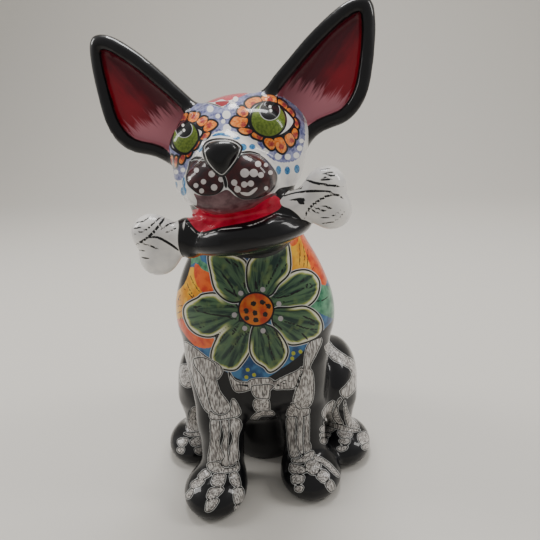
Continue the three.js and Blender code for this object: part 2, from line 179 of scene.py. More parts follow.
def smooth_outline(points, steps):
    """A closed smooth line through the points."""
    p = np.array(points, float)
    before, after, beyond = np.roll(p, 1, 0), np.roll(p, -1, 0), np.roll(p, -2, 0)
    rows = []
    for t in np.arange(steps) / steps:
        slope = (after - before) * t
        bend = (2 * before - 5 * p + 4 * after - beyond) * t ** 2
        twist = (3 * p - before - 3 * after + beyond) * t ** 3
        rows.append(p + (slope + bend + twist) / 2)
    return np.float32(np.stack(rows, 1).reshape(-1, 2))


def to_line(x, z, line):
    """Distance in the plane to a closed line, negative inside it."""
    best = np.full(x.shape, np.inf, np.float32)
    inside = np.zeros(x.shape, bool)
    for (ax, az), (bx, bz) in zip(np.roll(line, 1, 0), line):
        ex, ez = bx - ax, bz - az
        t = np.clip(((x - ax) * ex + (z - az) * ez) / (ex * ex + ez * ez), 0, 1)
        best = np.minimum(best, np.hypot(x - ax - t * ex, z - az - t * ez))
        if ez:
            inside ^= ((az > z) != (bz > z)) & (x < ax + (z - az) / ez * ex)
    return np.where(inside, -best, best)


EAR_LINE = smooth_outline(EAR_OUTLINE, 4)


def ear_frame(side, base, tip, face):
    """An ear's axes, as columns: x outwards, y towards the back, z to its tip; and its scale."""
    span = Vector(tip) - Vector(base)
    z = span.normalized()
    x = (side * (Vector((1, 0, 0)) - z * z.x)).normalized()
    y = z.cross(x)
    y *= math.copysign(1, y.y)
    angle = math.radians(face) * side
    turned_x = x * math.cos(angle) + y * math.sin(angle)
    turned_y = y * math.cos(angle) - x * math.sin(angle)
    axes = np.float32((turned_x, turned_y, z)).T
    return dict(base=base, axes=axes, scale=span.length / EAR_LENGTH)


EAR_FRAMES = [ear_frame(**ear) for ear in EARS]


def in_ear(q, ear):
    return in_frame(q, ear["base"], ear["axes"]) / np.float32(ear["scale"])


def ear_form(q, ear):
    """A bowed leaf with a thick rounded edge and a hollow in its front."""
    p = in_ear(q, ear)
    out = ball(p, **EAR_BALL)
    near = out <= EAR_BALL["margin"]
    x, y, z = p[near].T
    edge = to_line(x, z, EAR_LINE)
    depth = y + EAR["bow"] * (x - EAR["bow_middle"]) ** 2
    a = edge + EAR["rounding"]
    b = np.abs(depth) - EAR["thickness"] / 2 + EAR["rounding"]
    leaf = np.hypot(np.maximum(a, 0), np.maximum(b, 0)) + np.minimum(np.maximum(a, b), 0) - EAR["rounding"]
    hollow = shared(edge + EAR["rim"], depth, EAR["rim_softness"])
    out[near] = shared(leaf, -hollow, EAR["rim_softness"])
    return out * np.float32(ear["scale"])


# Head, with its jaw and the bone.

HEAD_AXES = turned_frame(HEAD["turn"], HEAD["tilt"], HEAD["nod"])
BONE_AXES = turned_frame(BONE["turn"], BONE["tilt"], 0)


def in_head(p):
    return in_frame(p, HEAD["at"], HEAD_AXES)


def in_bone(q):
    return in_frame(q, BONE["at"], BONE_AXES)


def bone_form(q):
    b = in_bone(q)
    shaft = round_cone(b, (-BONE["half"], 0, 0), (BONE["half"], 0, 0), (BONE["radius"], BONE["radius"]))
    quarter = np.stack([np.abs(b[..., 0]), b[..., 1], np.abs(b[..., 2])], -1)
    knob = ellipsoid(quarter, (BONE["half"] + KNOB["beyond"], 0, KNOB["apart"]), KNOB["radii"])
    return melt(shaft, knob, KNOB["blend"])


def nose_form(q):
    return melt(ellipsoid(q, **NOSE_TOP), ellipsoid(q, **NOSE_POINT), NOSE_POINT["blend"])


def skull_form(q):
    d = added(ellipsoid(q, **CRANIUM), ellipsoid, q, CHEEKS)
    d = added(d, ellipsoid, mirrored(q), BROW)
    d = added(d, round_cone, q, BRIDGE)
    d = added(d, ellipsoid, q, MUZZLE)
    d = added(d, ellipsoid, mirrored(q), LIP_PAD)
    d = melt(d, nose_form(q), NOSE_TOP["blend"])
    return added(d, ellipsoid, q, PALATE)


def ears_form(q):
    return np.minimum(*[ear_form(q, ear) for ear in EAR_FRAMES])


def jaw_form(q):
    d = shared(ellipsoid(q, **JAW), -ellipsoid(q, **JAW_HOLLOW), JAW_HOLLOW["blend"])
    d = added(d, ellipsoid, q, JAW_CORNER)
    d = added(d, ellipsoid, q, TONGUE)
    return added(d, round_cone, q, THROAT)


def head_form(p):
    q = in_head(p)
    out = ball(q, **HEAD_BALL)
    near = out <= HEAD_BALL["margin"]
    q = q[near]
    head = melt(melt(skull_form(q), ears_form(q), EAR["blend"]), jaw_form(q), JAW["blend"])
    out[near] = melt(head, bone_form(q), BONE["blend"])
    return out


# Trunk, haunches, tail and legs.

def tail_form(p):
    """A chain of short tapering lengths set out on an arc."""
    def along(pair, t):
        return pair[0] + (pair[1] - pair[0]) * t

    def knot(t):
        angle = math.radians(along(TAIL["angles"], t))
        across, back = TAIL["reach"] * math.cos(angle), TAIL["reach"] * math.sin(angle)
        return TRUNK_X + across, RUMP["at"][1] + back, along(TAIL["height"], t)

    d = np.full(p.shape[:-1], np.inf, np.float32)
    for i in range(TAIL["steps"]):
        s, t = i / TAIL["steps"], (i + 1) / TAIL["steps"]
        radii = along(TAIL["radii"], s), along(TAIL["radii"], t)
        d = np.minimum(d, round_cone(p, knot(s), knot(t), radii))
    return d


def trunk_form(p):
    q = p - np.float32((TRUNK_X, 0, 0))
    d = added(ellipsoid(q, **CHEST), round_cone, q, NECK)
    d = added(d, round_cone, mirrored(q), SHOULDER)
    d = added(d, ellipsoid, q, BRISKET)
    d = added(d, round_cone, q, BACK)
    d = added(d, ellipsoid, q, RUMP)
    d = added(d, round_cone, q, BELLY)
    d = added(d, ellipsoid, mirrored(p), HAUNCH)
    d = added(d, round_cone, mirrored(p), SHIN)
    return melt(d, tail_form(p), TAIL["blend"])


def leg_joints(x, y):
    """Shoulder, knee and ankle of the front leg that stands on the paw at x, y."""
    shoulder = (math.copysign(SHOULDER_POINT["spread"], x) + TRUNK_X, SHOULDER_POINT["y"], SHOULDER_POINT["z"])
    knee = (x * KNEE["inset"], y + KNEE["behind"], KNEE["z"])
    ankle = (x * ANKLE["inset"], y + ANKLE["behind"], ANKLE["z"])
    return shoulder, knee, ankle


def front_leg_form(p, x, y):
    shoulder, knee, ankle = leg_joints(x, y)
    upper = round_cone(p, shoulder, knee, (SHOULDER_POINT["radius"], KNEE["radius"]))
    lower = round_cone(p, knee, ankle, (KNEE["radius"], ANKLE["radius"]))
    paw = ellipsoid(p, (x, y, FRONT_PAW["height"]), FRONT_PAW["radii"])
    return melt(melt(upper, lower, KNEE["blend"]), paw, FRONT_PAW["blend"])


def body_form(p):
    d = trunk_form(p)
    for x, y in FRONT_PAWS:
        d = melt(d, front_leg_form(p, x, y), LEG_BLEND)
    return added(d, ellipsoid, mirrored(p), HIND_PAW)


def figure(p):
    p = np.float32(p)
    return melt(body_form(p), head_form(p), HEAD["blend"])


# Skin: a net of squares with one point in each grid cell that the surface crosses.

def grid_values(field, low, high, step):
    """Field values on a grid. Far from the skin a coarser grid stands in for the fine one."""
    low = np.array(low, float)
    cells = [math.ceil((h - c) / (step * COARSE)) for c, h in zip(low, high)]
    wide = [low[i] + step * COARSE * np.arange(cells[i] + 1) for i in range(3)]
    rough = field(np.stack(np.meshgrid(*wide, indexing="ij"), -1).reshape(-1, 3))
    rough = rough.reshape([n + 1 for n in cells])
    fine = rough
    for axis in range(3):
        fine = np.repeat(fine, COARSE, axis)
    fine = fine[tuple(slice(0, n * COARSE + 1) for n in cells)].copy()
    near = np.argwhere(np.abs(fine) < 2.5 * COARSE * step)
    spots = low + near * step
    values = np.concatenate([field(part) for part in np.array_split(spots, 1 + len(spots) // 200000)])
    fine[tuple(near.T)] = values
    return low, fine


def fill_diagonals(values):
    """Where inner corners of a grid square meet only across its diagonal, the shallower outer corner
    is filled, so that the skin never touches itself along a line."""
    changed = True
    while changed:
        changed = False
        for u, v in ((0, 1), (1, 2), (2, 0)):
            views = []
            for du in (0, 1):
                for dv in (0, 1):
                    cut = [slice(None)] * 3
                    cut[u] = slice(du, values.shape[u] - 1 + du)
                    cut[v] = slice(dv, values.shape[v] - 1 + dv)
                    views.append(values[tuple(cut)])
            a, b, c, d = views
            for inner, outer in (((a, d), (b, c)), ((b, c), (a, d))):
                met = (inner[0] < 0) & (inner[1] < 0) & (outer[0] >= 0) & (outer[1] >= 0)
                if not met.any():
                    continue
                first = met & (outer[0] < outer[1])
                outer[0][first] *= -0.1
                second = met & ~first
                outer[1][second] *= -0.1
                changed = True


def net_over(field, low, high, step):
    low, values = grid_values(field, low, high, step)
    fill_diagonals(values)
    shape = np.array(values.shape) - 1
    corners = [values[i:shape[0] + i, j:shape[1] + j, k:shape[2] + k]
               for i in (0, 1) for j in (0, 1) for k in (0, 1)]
    inside = np.stack([c < 0 for c in corners])
    crossed = inside.any(0) & ~inside.all(0)
    cells = np.argwhere(crossed)
    at = np.stack([c[crossed] for c in corners], 1)
    places = np.array([(i, j, k) for i in (0, 1) for j in (0, 1) for k in (0, 1)], float)
    total = np.zeros((len(cells), 3))
    count = np.zeros(len(cells))
    for a in range(8):
        for b in range(a + 1, 8):
            if np.abs(places[a] - places[b]).sum() != 1:
                continue
            cut = (at[:, a] < 0) != (at[:, b] < 0)
            t = (at[:, a] / np.where(cut, at[:, a] - at[:, b], 1))[cut, None]
            total[cut] += places[a] + (places[b] - places[a]) * t
            count[cut] += 1
    points = low + (cells + total / count[:, None]) * step
    number = np.full(shape, -1)
    number[tuple(cells.T)] = np.arange(len(cells))
    squares = []
    for axis in range(3):
        u, v = np.eye(3, dtype=int)[[(axis + 1) % 3, (axis + 2) % 3]]
        here = np.argwhere(inside_edges(values, axis, shape))
        ring = [number[tuple((here - step_back).T)] for step_back in (0 * u, u, u + v, v)]
        square = np.stack(ring, 1)
        leaving = values[tuple(here.T)] < 0
        square[~leaving] = square[~leaving][:, ::-1]
        squares.append(square)
    return points, np.concatenate(squares)


def inside_edges(values, axis, shape):
    """Grid edges along an axis that the surface crosses, away from the grid's first layers."""
    ahead = np.roll(values, -1, axis)
    crossed = ((values < 0) != (ahead < 0))[:shape[0], :shape[1], :shape[2]]
    for other in range(3):
        if other != axis:
            crossed[(slice(None),) * other + (0,)] = False
    return crossed


def slope_at(field, p):
    """The field's slope by central differences."""
    nudge = SETTLE["nudge"]
    steps = np.eye(3) * nudge
    return np.stack([(field(p + s) - field(p - s)) / (2 * nudge) for s in steps], -1)


def settled(p, field):
    """Slides points along the field's slope onto the surface itself."""
    p = np.array(p, float)
    for _ in range(SETTLE["rounds"]):
        slope = slope_at(field, p)
        way = field(p) / np.maximum((slope * slope).sum(-1), SETTLE["least_slope"])
        p = p - slope * np.clip(way, -SETTLE["longest_move"], SETTLE["longest_move"])[:, None]
    return p


# The skin as one closed mesh, cut off flat at the ground, and finer where the painting is fine.

def to_frame(p):
    """Millimetres in the potter's frame to metres in the part's frame."""
    return (np.array(p, float) - (*PLAN_MIDDLE, 0)) * MM


def to_form(p):
    return np.array(p, float) / MM + (*PLAN_MIDDLE, 0)


def ground_cut(bm):
    """Cuts the mesh at the ground and closes each foot with a flat underside."""
    everything = bm.verts[:] + bm.edges[:] + bm.faces[:]
    bmesh.ops.bisect_plane(bm, geom=everything, dist=1e-5, plane_co=(0, 0, 0), plane_no=(0, 0, 1), clear_inner=True)
    rim = [edge for edge in bm.edges if edge.is_boundary]
    soles = bmesh.ops.holes_fill(bm, edges=rim, sides=0)["faces"]
    for edge in rim:
        edge.smooth = False
    bmesh.ops.triangulate(bm, faces=soles)
    bmesh.ops.recalc_face_normals(bm, faces=bm.faces)


def fine_face(p):
    """The front of the head, with its eyes, snout and forehead."""
    q = in_head(p)
    near = (q[:, 1] < 4) & (np.abs(q[:, 0]) < 46) & (q[:, 2] > -38) & (q[:, 2] < 34)
    return near & (skull_form(q) < 1.5) & (ears_form(q) > 1)


def fine_front(p):
    """Everything else that is painted: the front of the head, the bone, the chest and the legs."""
    q = in_head(p)
    mouth = (q[:, 1] < 4) & (np.abs(q[:, 0]) < 46) & (q[:, 2] > -66) & (q[:, 2] < 34) & (ears_form(q) > 1)
    bone = (bone_form(q) < 1) & (in_bone(q)[:, 1] < 5)
    chest = (p[:, 1] < 0) & (p[:, 2] > 84) & (p[:, 2] < 200) & (q[:, 2] < -50)
    legs = (p[:, 1] < -26) & (p[:, 2] <= 84) & (p[:, 2] > 1.5)
    toes = (p[:, 1] < 4) & (np.abs(p[:, 0]) > 44) & (p[:, 2] < 50) & (p[:, 2] > 1.5)
    return mouth | bone | chest | legs | toes


def halve(bm, wanted):
    """Halves the squares whose middles are wanted, and lets the new points settle on the form."""
    faces = bm.faces[:]
    middles = to_form([face.calc_center_median() for face in faces])
    chosen = wanted(np.float32(middles))
    edges = {edge for face, take in zip(faces, chosen) if take and len(face.verts) == 4 for edge in face.edges}
    before = len(bm.verts)
    bmesh.ops.subdivide_edges(bm, edges=list(edges), cuts=1, use_grid_fill=True)
    bm.verts.ensure_lookup_table()
    fresh = bm.verts[before:]
    for vert, place in zip(fresh, to_frame(settled(to_form([v.co for v in fresh]), figure))):
        vert.co = place


def make_skin():
    points, squares = net_over(figure, step=MESH_STEP, **SPACE)
    points = settled(points, figure)
    mesh = bpy.data.meshes.new("chihuahua_skin")
    mesh.from_pydata(to_frame(points), [], squares)
    bm = bmesh.new()
    bm.from_mesh(mesh)
    ground_cut(bm)
    for wanted in (fine_front, fine_face):
        halve(bm, wanted)
    bm.to_mesh(mesh)
    bm.free()
    mesh.shade_smooth()
    skin = bpy.data.objects.new("painted_chihuahua", mesh)
    bpy.context.scene.collection.objects.link(skin)
    return skin


# Camera geometry, shared by the camera itself and by the painter, who finds each mark's place on
# the skin from the point of the picture where it shows.

def look_axes():
    """The camera's right, up and forward, and its level forward and right, in the potter's frame."""
    turn, down, roll = (math.radians(CAMERA[k]) for k in ("turn", "down", "roll"))
    ahead = Vector((-math.sin(turn), math.cos(turn), 0))
    level = Vector((math.cos(turn), math.sin(turn), 0))
    up = Vector((0, 0, 1))
    forward = ahead * math.cos(down) - up * math.sin(down)
    top = ahead * math.sin(down) + up * math.cos(down)
    across = level * math.cos(roll) - top * math.sin(roll)
    top = level * math.sin(roll) + top * math.cos(roll)
    return across, top, forward, ahead, level


def camera_place():
    *_, ahead, level = look_axes()
    return ahead * -CAMERA["back"] + level * CAMERA["right"] + Vector((0, 0, CAMERA["height"]))


def in_picture(points):
    """Pixels at which points show, and the size of a pixel there in millimetres."""
    across, top, forward, _, _ = look_axes()
    away = np.array(points, float) - camera_place()
    depth = away @ np.array(forward)
    pixel = depth / CAMERA["focal"]
    x = PICTURE / 2 + away @ np.array(across) / pixel
    y = PICTURE / 2 - away @ np.array(top) / pixel
    return np.stack([x, y], -1), pixel


def skin_at(form, pixels):
    """Places on a form that show at the pixels, or those nearest to the line of sight."""
    across, top, forward, _, _ = look_axes()
    x, y = (np.array(pixels, float).T - PICTURE / 2) / CAMERA["focal"]
    ray = np.array(forward) + x[:, None] * np.array(across) - y[:, None] * np.array(top)
    ray /= length(ray)[:, None]
    eye = np.array(camera_place())
    reach = np.full(len(ray), float(SIGHT["start"]))
    best = np.full(len(ray), np.inf)
    nearest = reach.copy()
    for _ in range(SIGHT["steps"]):
        gap = form(np.float32(eye + ray * reach[:, None]))
        closer = gap < best
        best[closer] = gap[closer]
        nearest[closer] = reach[closer]
        reach += np.maximum(gap, 0) * SIGHT["share"]
    return settled(eye + ray * nearest[:, None], lambda p: form(np.float32(p)))


# Painting. The painter's marks are kept on the skin as distances in millimetres, one attribute for
# each kind of mark, negative inside it. The glazes read them and turn them into colours.

FAR = 9


class Canvas:
    """The skin points near one form, where they show in the picture, and the marks made on them."""

    def __init__(self, points, form, chosen):
        self.all, self.form, self.chosen = len(points), form, chosen
        self.points = points[chosen]
        self.seen, self.pixel = in_picture(self.points)

    def keep(self, name, distance):
        whole = marks.setdefault(name, np.full(self.all, float(FAR)))
        whole[self.chosen] = np.minimum(whole[self.chosen], distance)

    def area(self, outline):
        """Distance from a smooth closed outline, given by the pixels that it passes."""
        line = smooth_outline(outline, 4)
        margin = FAR / self.pixel.min()
        near = ((self.seen > line.min(0) - margin) & (self.seen < line.max(0) + margin)).all(1)
        out = np.full(len(self.seen), float(FAR))
        out[near] = to_line(*self.seen[near].T, line) * self.pixel[near]
        return out

    def areas(self, outlines):
        return np.min([self.area(outline) for outline in outlines], 0)

    def spots(self, marks_at, *radii):
        """Distance from round marks, all of one size or as wide and as high as the two radii say."""
        wide, high = radii[0], radii[-1]
        out = np.full(len(self.seen), float(FAR))
        for x, y in marks_at:
            off = (self.seen - (x, y)) * self.pixel[:, None]
            off *= (1, wide / high)
            out = np.minimum(out, length(off) - wide)
        return out

    def strokes(self, paths, width, taper=0.5):
        """Distance from brush strokes that follow the skin and thin out at their ends."""
        return np.min([self.stroke(path, width / 2, taper) for path in paths], 0)

    def stroke(self, path, half, taper):
        route = skin_at(self.form, smooth_path(path, 3))
        steps = length(np.diff(route, axis=0))
        far_on = np.concatenate([[0], np.cumsum(steps)]) / max(steps.sum(), 1e-6)
        out = np.full(len(self.points), float(FAR))
        near = ((self.points > route.min(0) - FAR) & (self.points < route.max(0) + FAR)).all(1)
        p = self.points[near]
        best = np.full(len(p), float(FAR))
        for a, b, s, t in zip(route, route[1:], far_on, far_on[1:]):
            span = b - a
            along = np.clip((p - a) @ span / max(span @ span, 1e-9), 0, 1)
            here = s + (t - s) * along
            thick = half * (1 - taper * (2 * here - 1) ** 4)
            best = np.minimum(best, length(p - a - along[:, None] * span) - thick)
        out[near] = best
        return out


def smooth_path(points, steps):
    """An open smooth line through the points."""
    p = np.array(points, float)
    if len(p) == 2:
        return np.linspace(p[0], p[1], steps + 1)
    ends = np.concatenate([[2 * p[0] - p[1]], p, [2 * p[-1] - p[-2]]])
    before, here, after, beyond = ends[:-3], ends[1:-2], ends[2:-1], ends[3:]
    rows = []
    for t in np.arange(steps) / steps:
        slope = (after - before) * t
        bend = (2 * before - 5 * here + 4 * after - beyond) * t ** 2
        twist = (3 * here - before - 3 * after + beyond) * t ** 3
        rows.append(here + (slope + bend + twist) / 2)
    return np.concatenate([np.stack(rows, 1).reshape(-1, 2), p[-1:]])


# Glazes: the painter's colours, given as screen values from 0 to 255.

def glaze(red, green, blue):
    shares = [v / 255 for v in (red, green, blue)]
    return tuple(s / 12.92 if s <= 0.04045 else ((s + 0.055) / 1.055) ** 2.4 for s in shares) + (1,)


class Ink:
    """A shader socket that takes part in sums."""

    def __init__(self, kiln, socket):
        self.kiln, self.socket = kiln, socket

    def math(self, operation, *values):
        return self.kiln.node("ShaderNodeMath", dict(operation=operation), dict(enumerate(values)))

    def __add__(self, other):
        return self.math("ADD", self, other)

    def __radd__(self, other):
        return self.math("ADD", other, self)

    def __sub__(self, other):
        return self.math("SUBTRACT", self, other)

    def __rsub__(self, other):
        return self.math("SUBTRACT", other, self)

    def __mul__(self, other):
        return self.math("MULTIPLY", self, other)

    def __rmul__(self, other):
        return self.math("MULTIPLY", other, self)

    def __truediv__(self, other):
        return self.math("DIVIDE", self, other)

    def least(self, other):
        return self.math("MINIMUM", self, other)

    def most(self, other):
        return self.math("MAXIMUM", self, other)


class Kiln:
    """One glazed material, with the steps that its colours go through."""

    def __init__(self, name):
        self.material = bpy.data.materials.new(name)
        self.material.use_nodes = True
        self.tree = self.material.node_tree
        self.surface = self.tree.nodes["Principled BSDF"]

    def put(self, socket, value):
        if isinstance(value, Ink):
            self.tree.links.new(value.socket, socket)
        else:
            socket.default_value = value

    def node(self, kind, settings=(), inputs=(), output=0):
        made = self.tree.nodes.new(kind)
        for name, value in dict(settings).items():
            setattr(made, name, value)
        for key, value in dict(inputs).items():
            self.put(made.inputs[key], value)
        return Ink(self, made.outputs[output])

    def mark(self, name):
        return self.node("ShaderNodeAttribute", dict(attribute_name=name), output="Fac")

    def spot(self, name):
        return self.node("ShaderNodeAttribute", dict(attribute_name=name), output="Vector")

    def place(self):
        """Where the surface is, in millimetres."""
        object_place = self.node("ShaderNodeTexCoord", output="Object")
        return self.node("ShaderNodeVectorMath", dict(operation="SCALE"), {0: object_place, "Scale": 1 / MM})

    def stretched(self, vector, scales, turn=(0, 0, 0)):
        settings = dict(vector_type="TEXTURE")
        inputs = {"Vector": vector, "Scale": scales, "Rotation": turn}
        return self.node("ShaderNodeMapping", settings, inputs)

    def noise(self, vector, size, detail=2, rough=0.5):
        """Uneven values about a half, in patches of the given size."""
        inputs = {"Vector": vector, "Scale": 1 / size, "Detail": detail, "Roughness": rough}
        return self.node("ShaderNodeTexNoise", {}, inputs)

    def ramp(self, value, low, high, to_low=0, to_high=1):
        settings = dict(interpolation_type="SMOOTHSTEP")
        return self.node("ShaderNodeMapRange", settings, {0: value, 1: low, 2: high, 3: to_low, 4: to_high})

    def inside(self, distance, edge=0, soft=0.14):
        return self.ramp(distance, edge + soft, edge - soft)

    def mixed(self, share, a, b):
        return self.node("ShaderNodeMix", dict(data_type="RGBA"), {0: share, 6: a, 7: b}, 2)

    def lay(self, ground, distance, colour, line=0, rim=0):
        """Lays a colour inside its outline, in a black line with a thin pale rim."""
        if rim:
            ground = self.mixed(self.inside(distance, line + rim), ground, RIM)
        if line:
            ground = self.mixed(self.inside(distance, line), ground, BLACK)
        return self.mixed(self.inside(distance), ground, colour)


BLACK = glaze(14, 14, 17)
RIM = glaze(190, 190, 188)
WHITE = glaze(232, 229, 224)


# Painted chest: a broad flower on a many-coloured bib.

DISC = dict(at=(256.1, 309.4), wide=10.4, high=9.9)
BIB_BACK = 6
BIB = (
    (191.3, 246.1), (190.8, 264.5), (184.2, 283.9), (170, 299.2), (170, 310.4), (176, 321.6),
    (187.2, 337.9), (199, 349.7), (208.7, 359.4), (215.8, 366.5), (228.1, 372.7), (240.3, 379.8),
    (252.6, 382.3), (264.8, 378.8), (277, 371.6), (297.4, 357.3), (309.7, 344.1), (321.9, 331.8),
    (334, 318), (338, 302.2), (334, 288), (328, 272), (318, 252.2), (312, 233.9),
    (304, 215), (194, 215),
)
FLOWER = (
    ((236.2, 305.3), (224, 301.2), (215.8, 294.1), (202.6, 295.1), (198.5, 298.2), (186.2, 305.3),
     (184.7, 315.5), (190.3, 327.8), (200.5, 334.9), (213.8, 335.4), (228.1, 325.7), (238.3, 320.6)),
    ((238.3, 301.2), (226, 299.2), (215.8, 289), (211.7, 273.7), (209.5, 254), (226, 254.5),
     (240.3, 258.5), (246.9, 266.5), (249.5, 291)),
    ((250.5, 291), (248, 266.5), (256.6, 254.3), (266.8, 249.2), (273, 243.1), (283.2, 240),
     (288, 246.1), (289.3, 270.6), (278.1, 283.9), (268.9, 295.1)),
    ((269.9, 296.1), (288.3, 275.7), (302.6, 270.6), (312.8, 273.7), (318.9, 282.9), (315.8, 297.1),
     (305.6, 306.3), (290.3, 307.9), (275, 306.3)),
    ((275, 309.4), (290.3, 308.4), (305.6, 307.3), (317.9, 315.5), (321.9, 328.8), (314.8, 338),
     (295.4, 344.1), (285.2, 341), (277, 329.8), (273, 319.6)),
    ((254.6, 325.7), (266.8, 325.7), (277, 331.8), (286.2, 346.1), (286.2, 356.3), (279.1, 366.5),
     (269.9, 371.6), (264.8, 366.5), (255.6, 360.4), (250.5, 348.2)),
    ((240.3, 321.6), (250.5, 327.8), (250, 348.2), (240.3, 364.5), (232.1, 369.6), (215.8, 365.5),
     (211.7, 355.3), (216.8, 340), (224, 329.8)),
)
FLOWER_STROKES = (
    ((235.2, 316), (224, 316), (208.7, 313.5), (192.3, 309.4)),
    ((234.7, 306.8), (224, 304.5)),
    ((238.3, 319.6), (229.1, 319.1)),
    ((204.6, 326.7), (197.4, 328.3)),
    ((201.5, 306.3), (192.3, 307.3)),
    ((237.2, 297.1), (230.1, 283.9), (220.9, 272.7)),
    ((238.3, 297.1), (224, 288)),
    ((245.4, 289), (243.4, 280.8)),
    ((238.3, 267), (233.2, 262.4)),
    ((231.1, 264.5), (225, 258.4)),
    ((254.6, 291), (255.6, 280.8)),
    ((258.2, 291), (259.7, 278.8)),
    ((264.8, 289), (273, 274.7), (281.1, 257.3)),
    ((265.8, 253.3), (264.8, 265.5)),
    ((287.2, 263.5), (280.1, 273.7)),
    ((271.9, 296.1), (279.1, 292)),
    ((273, 299.2), (289.3, 295.1), (302.6, 289), (311.7, 286.9), (310.7, 283.9), (305.6, 284.9)),
    ((280.1, 302.8), (285.2, 302.2)),
    ((306.6, 277.8), (299.5, 282.9)),
    ((281.1, 320.6), (292.3, 323.7), (307.7, 328.8), (317.9, 329.3)),
    ((302.6, 316), (315.8, 321.6)),
    ((307.7, 322.7), (314.8, 325.2)),
    ((301.5, 332.9), (307.7, 339.5)),
    ((273, 321.6), (283.2, 330.8)),
    ((261.7, 327.8), (268.9, 338), (269.9, 348.2), (275, 360.4)),
    ((273, 326.7), (281.1, 342), (284.2, 353.3)),
    ((246.4, 328.8), (238.3, 340), (230.1, 352.2)),
    ((240.3, 323.7), (232.1, 330.8)),
    ((237.2, 328.8), (232.1, 334.9)),
    ((250.5, 329.8), (245.4, 336.9)),
    ((226, 331.8), (219.9, 342)),
)
DISC_SPOTS = (
    (253.4, 303.5), (262.4, 302.2), (268.6, 306.3), (246.1, 310.6), (254.8, 312.7), (265.3, 314.3),
    (246.7, 318.3), (255.8, 320.1),
)
FLOWER_BEADS = (
    (240.8, 293.3), (262.8, 289.5), (278.9, 303.8), (280.6, 318.6), (263, 330.8), (244.7, 328.3), (234.4, 315),
)
YELLOW_AREAS = (
    ((172, 297.1), (184.2, 283.9), (188, 269.6), (194.9, 267.6), (197.4, 280.8), (202.6, 292),
     (198.5, 296.1), (187.2, 301.2), (183.2, 310.4), (181, 321.6), (170, 309.4)),
    ((289.3, 230), (300.7, 230), (306.7, 252.2), (312.8, 270.6), (301.5, 270.6),
     (289.8, 273.7), (290.3, 260.4), (288.3, 246.1)),
)
ORANGE_AREAS = (
    ((195.9, 263.5), (211.2, 275.2), (214.3, 289), (207.7, 293.6), (199.5, 289), (194.4, 276.7)),
    ((176, 320.6), (184.2, 319.6), (190.3, 328.8), (199.5, 336.4), (208.7, 335.9), (216.3, 338),
     (213.8, 346.1), (199.5, 347.7), (184, 336.9)),
    ((298.5, 228), (316, 228), (326, 265), (326, 284.9), (317.9, 280.8), (311.7, 269.6), (305, 250.2)),
    ((286, 228), (299, 228), (297, 243), (290.3, 245)),
)
GREEN_AREAS = (
    ((185, 247), (199.5, 247), (200.5, 259.4), (208.7, 265.5), (208.7, 272), (201.5, 268.6),
     (195.9, 262.5), (186, 266)),
    ((321.9, 284.9), (340, 290), (340, 298), (317.9, 300.2), (314.8, 301.2), (318.9, 291)),
    ((313.8, 302.2), (340, 298), (340, 318), (327.6, 316.5), (308.7, 306.3)),
)
BIB_STROKES = (
    ((186.7, 281.8), (189.3, 289), (195.4, 298.2)),
    ((190.3, 275.7), (194.4, 284.9), (200, 292)),
    ((188.3, 293.1), (193.4, 298.7)),
    ((184.2, 288), (186.2, 292)),
    ((181.1, 294.1), (178.1, 299.2), (181.1, 300.2)),
    ((182.7, 310.4), (177, 313.5)),
    ((182.1, 315.5), (179.1, 321.6)),
    ((183.2, 305.3), (177, 306.3)),
    ((299, 242), (300, 253.3), (299.5, 265.5)),
    ((302.6, 242), (304.6, 255.3), (303.6, 267.6)),
    ((307.7, 246.1), (307.7, 258.4), (306.6, 270.6)),
    ((313.8, 267), (309.7, 271.6)),
    ((314.8, 301.2), (323, 300.2), (329, 296)),
)
LIME_DOTS = ((247.7, 369.8), (254.1, 374.9), (246.4, 377.2), (293.4, 353.3), (292.3, 358.4), (300.5, 351.7))


def paint_chest(chest):
    back = chest.points[:, 1] - BIB_BACK
    chest.keep("bib", np.maximum(chest.area(BIB), back))
    chest.keep("yellow", chest.areas(YELLOW_AREAS))
    chest.keep("orange", chest.areas(ORANGE_AREAS))
    chest.keep("green", chest.areas(GREEN_AREAS))
    chest.keep("bib_strokes", chest.strokes(BIB_STROKES, 0.9))
    chest.keep("lime_dots", chest.spots(LIME_DOTS, 1.4))
    for turn, start in enumerate((0, 1, 2)):
        petals = [chest.area(outline) for outline in FLOWER[start::3]]
        chest.keep(f"flower_{turn + 1}", np.maximum(np.min(petals, 0), back))
    chest.keep("flower_strokes", chest.strokes(FLOWER_STROKES, 1.25))
    chest.keep("disc", chest.spots([DISC["at"]], DISC["wide"], DISC["high"]))
    chest.keep("disc_spots", chest.spots(DISC_SPOTS, 1.7))
    chest.keep("flower_beads", chest.spots(FLOWER_BEADS, 1.7))
    off = (chest.seen - DISC["at"]) * chest.pixel[:, None]
    places["flower_place"] = np.zeros((chest.all, 3))
    places["flower_place"][chest.chosen, :2] = off


# Painted bones of the trunk and the legs, by the pixels where they show. Each bone in a list covers
# the edge of those in the list before.

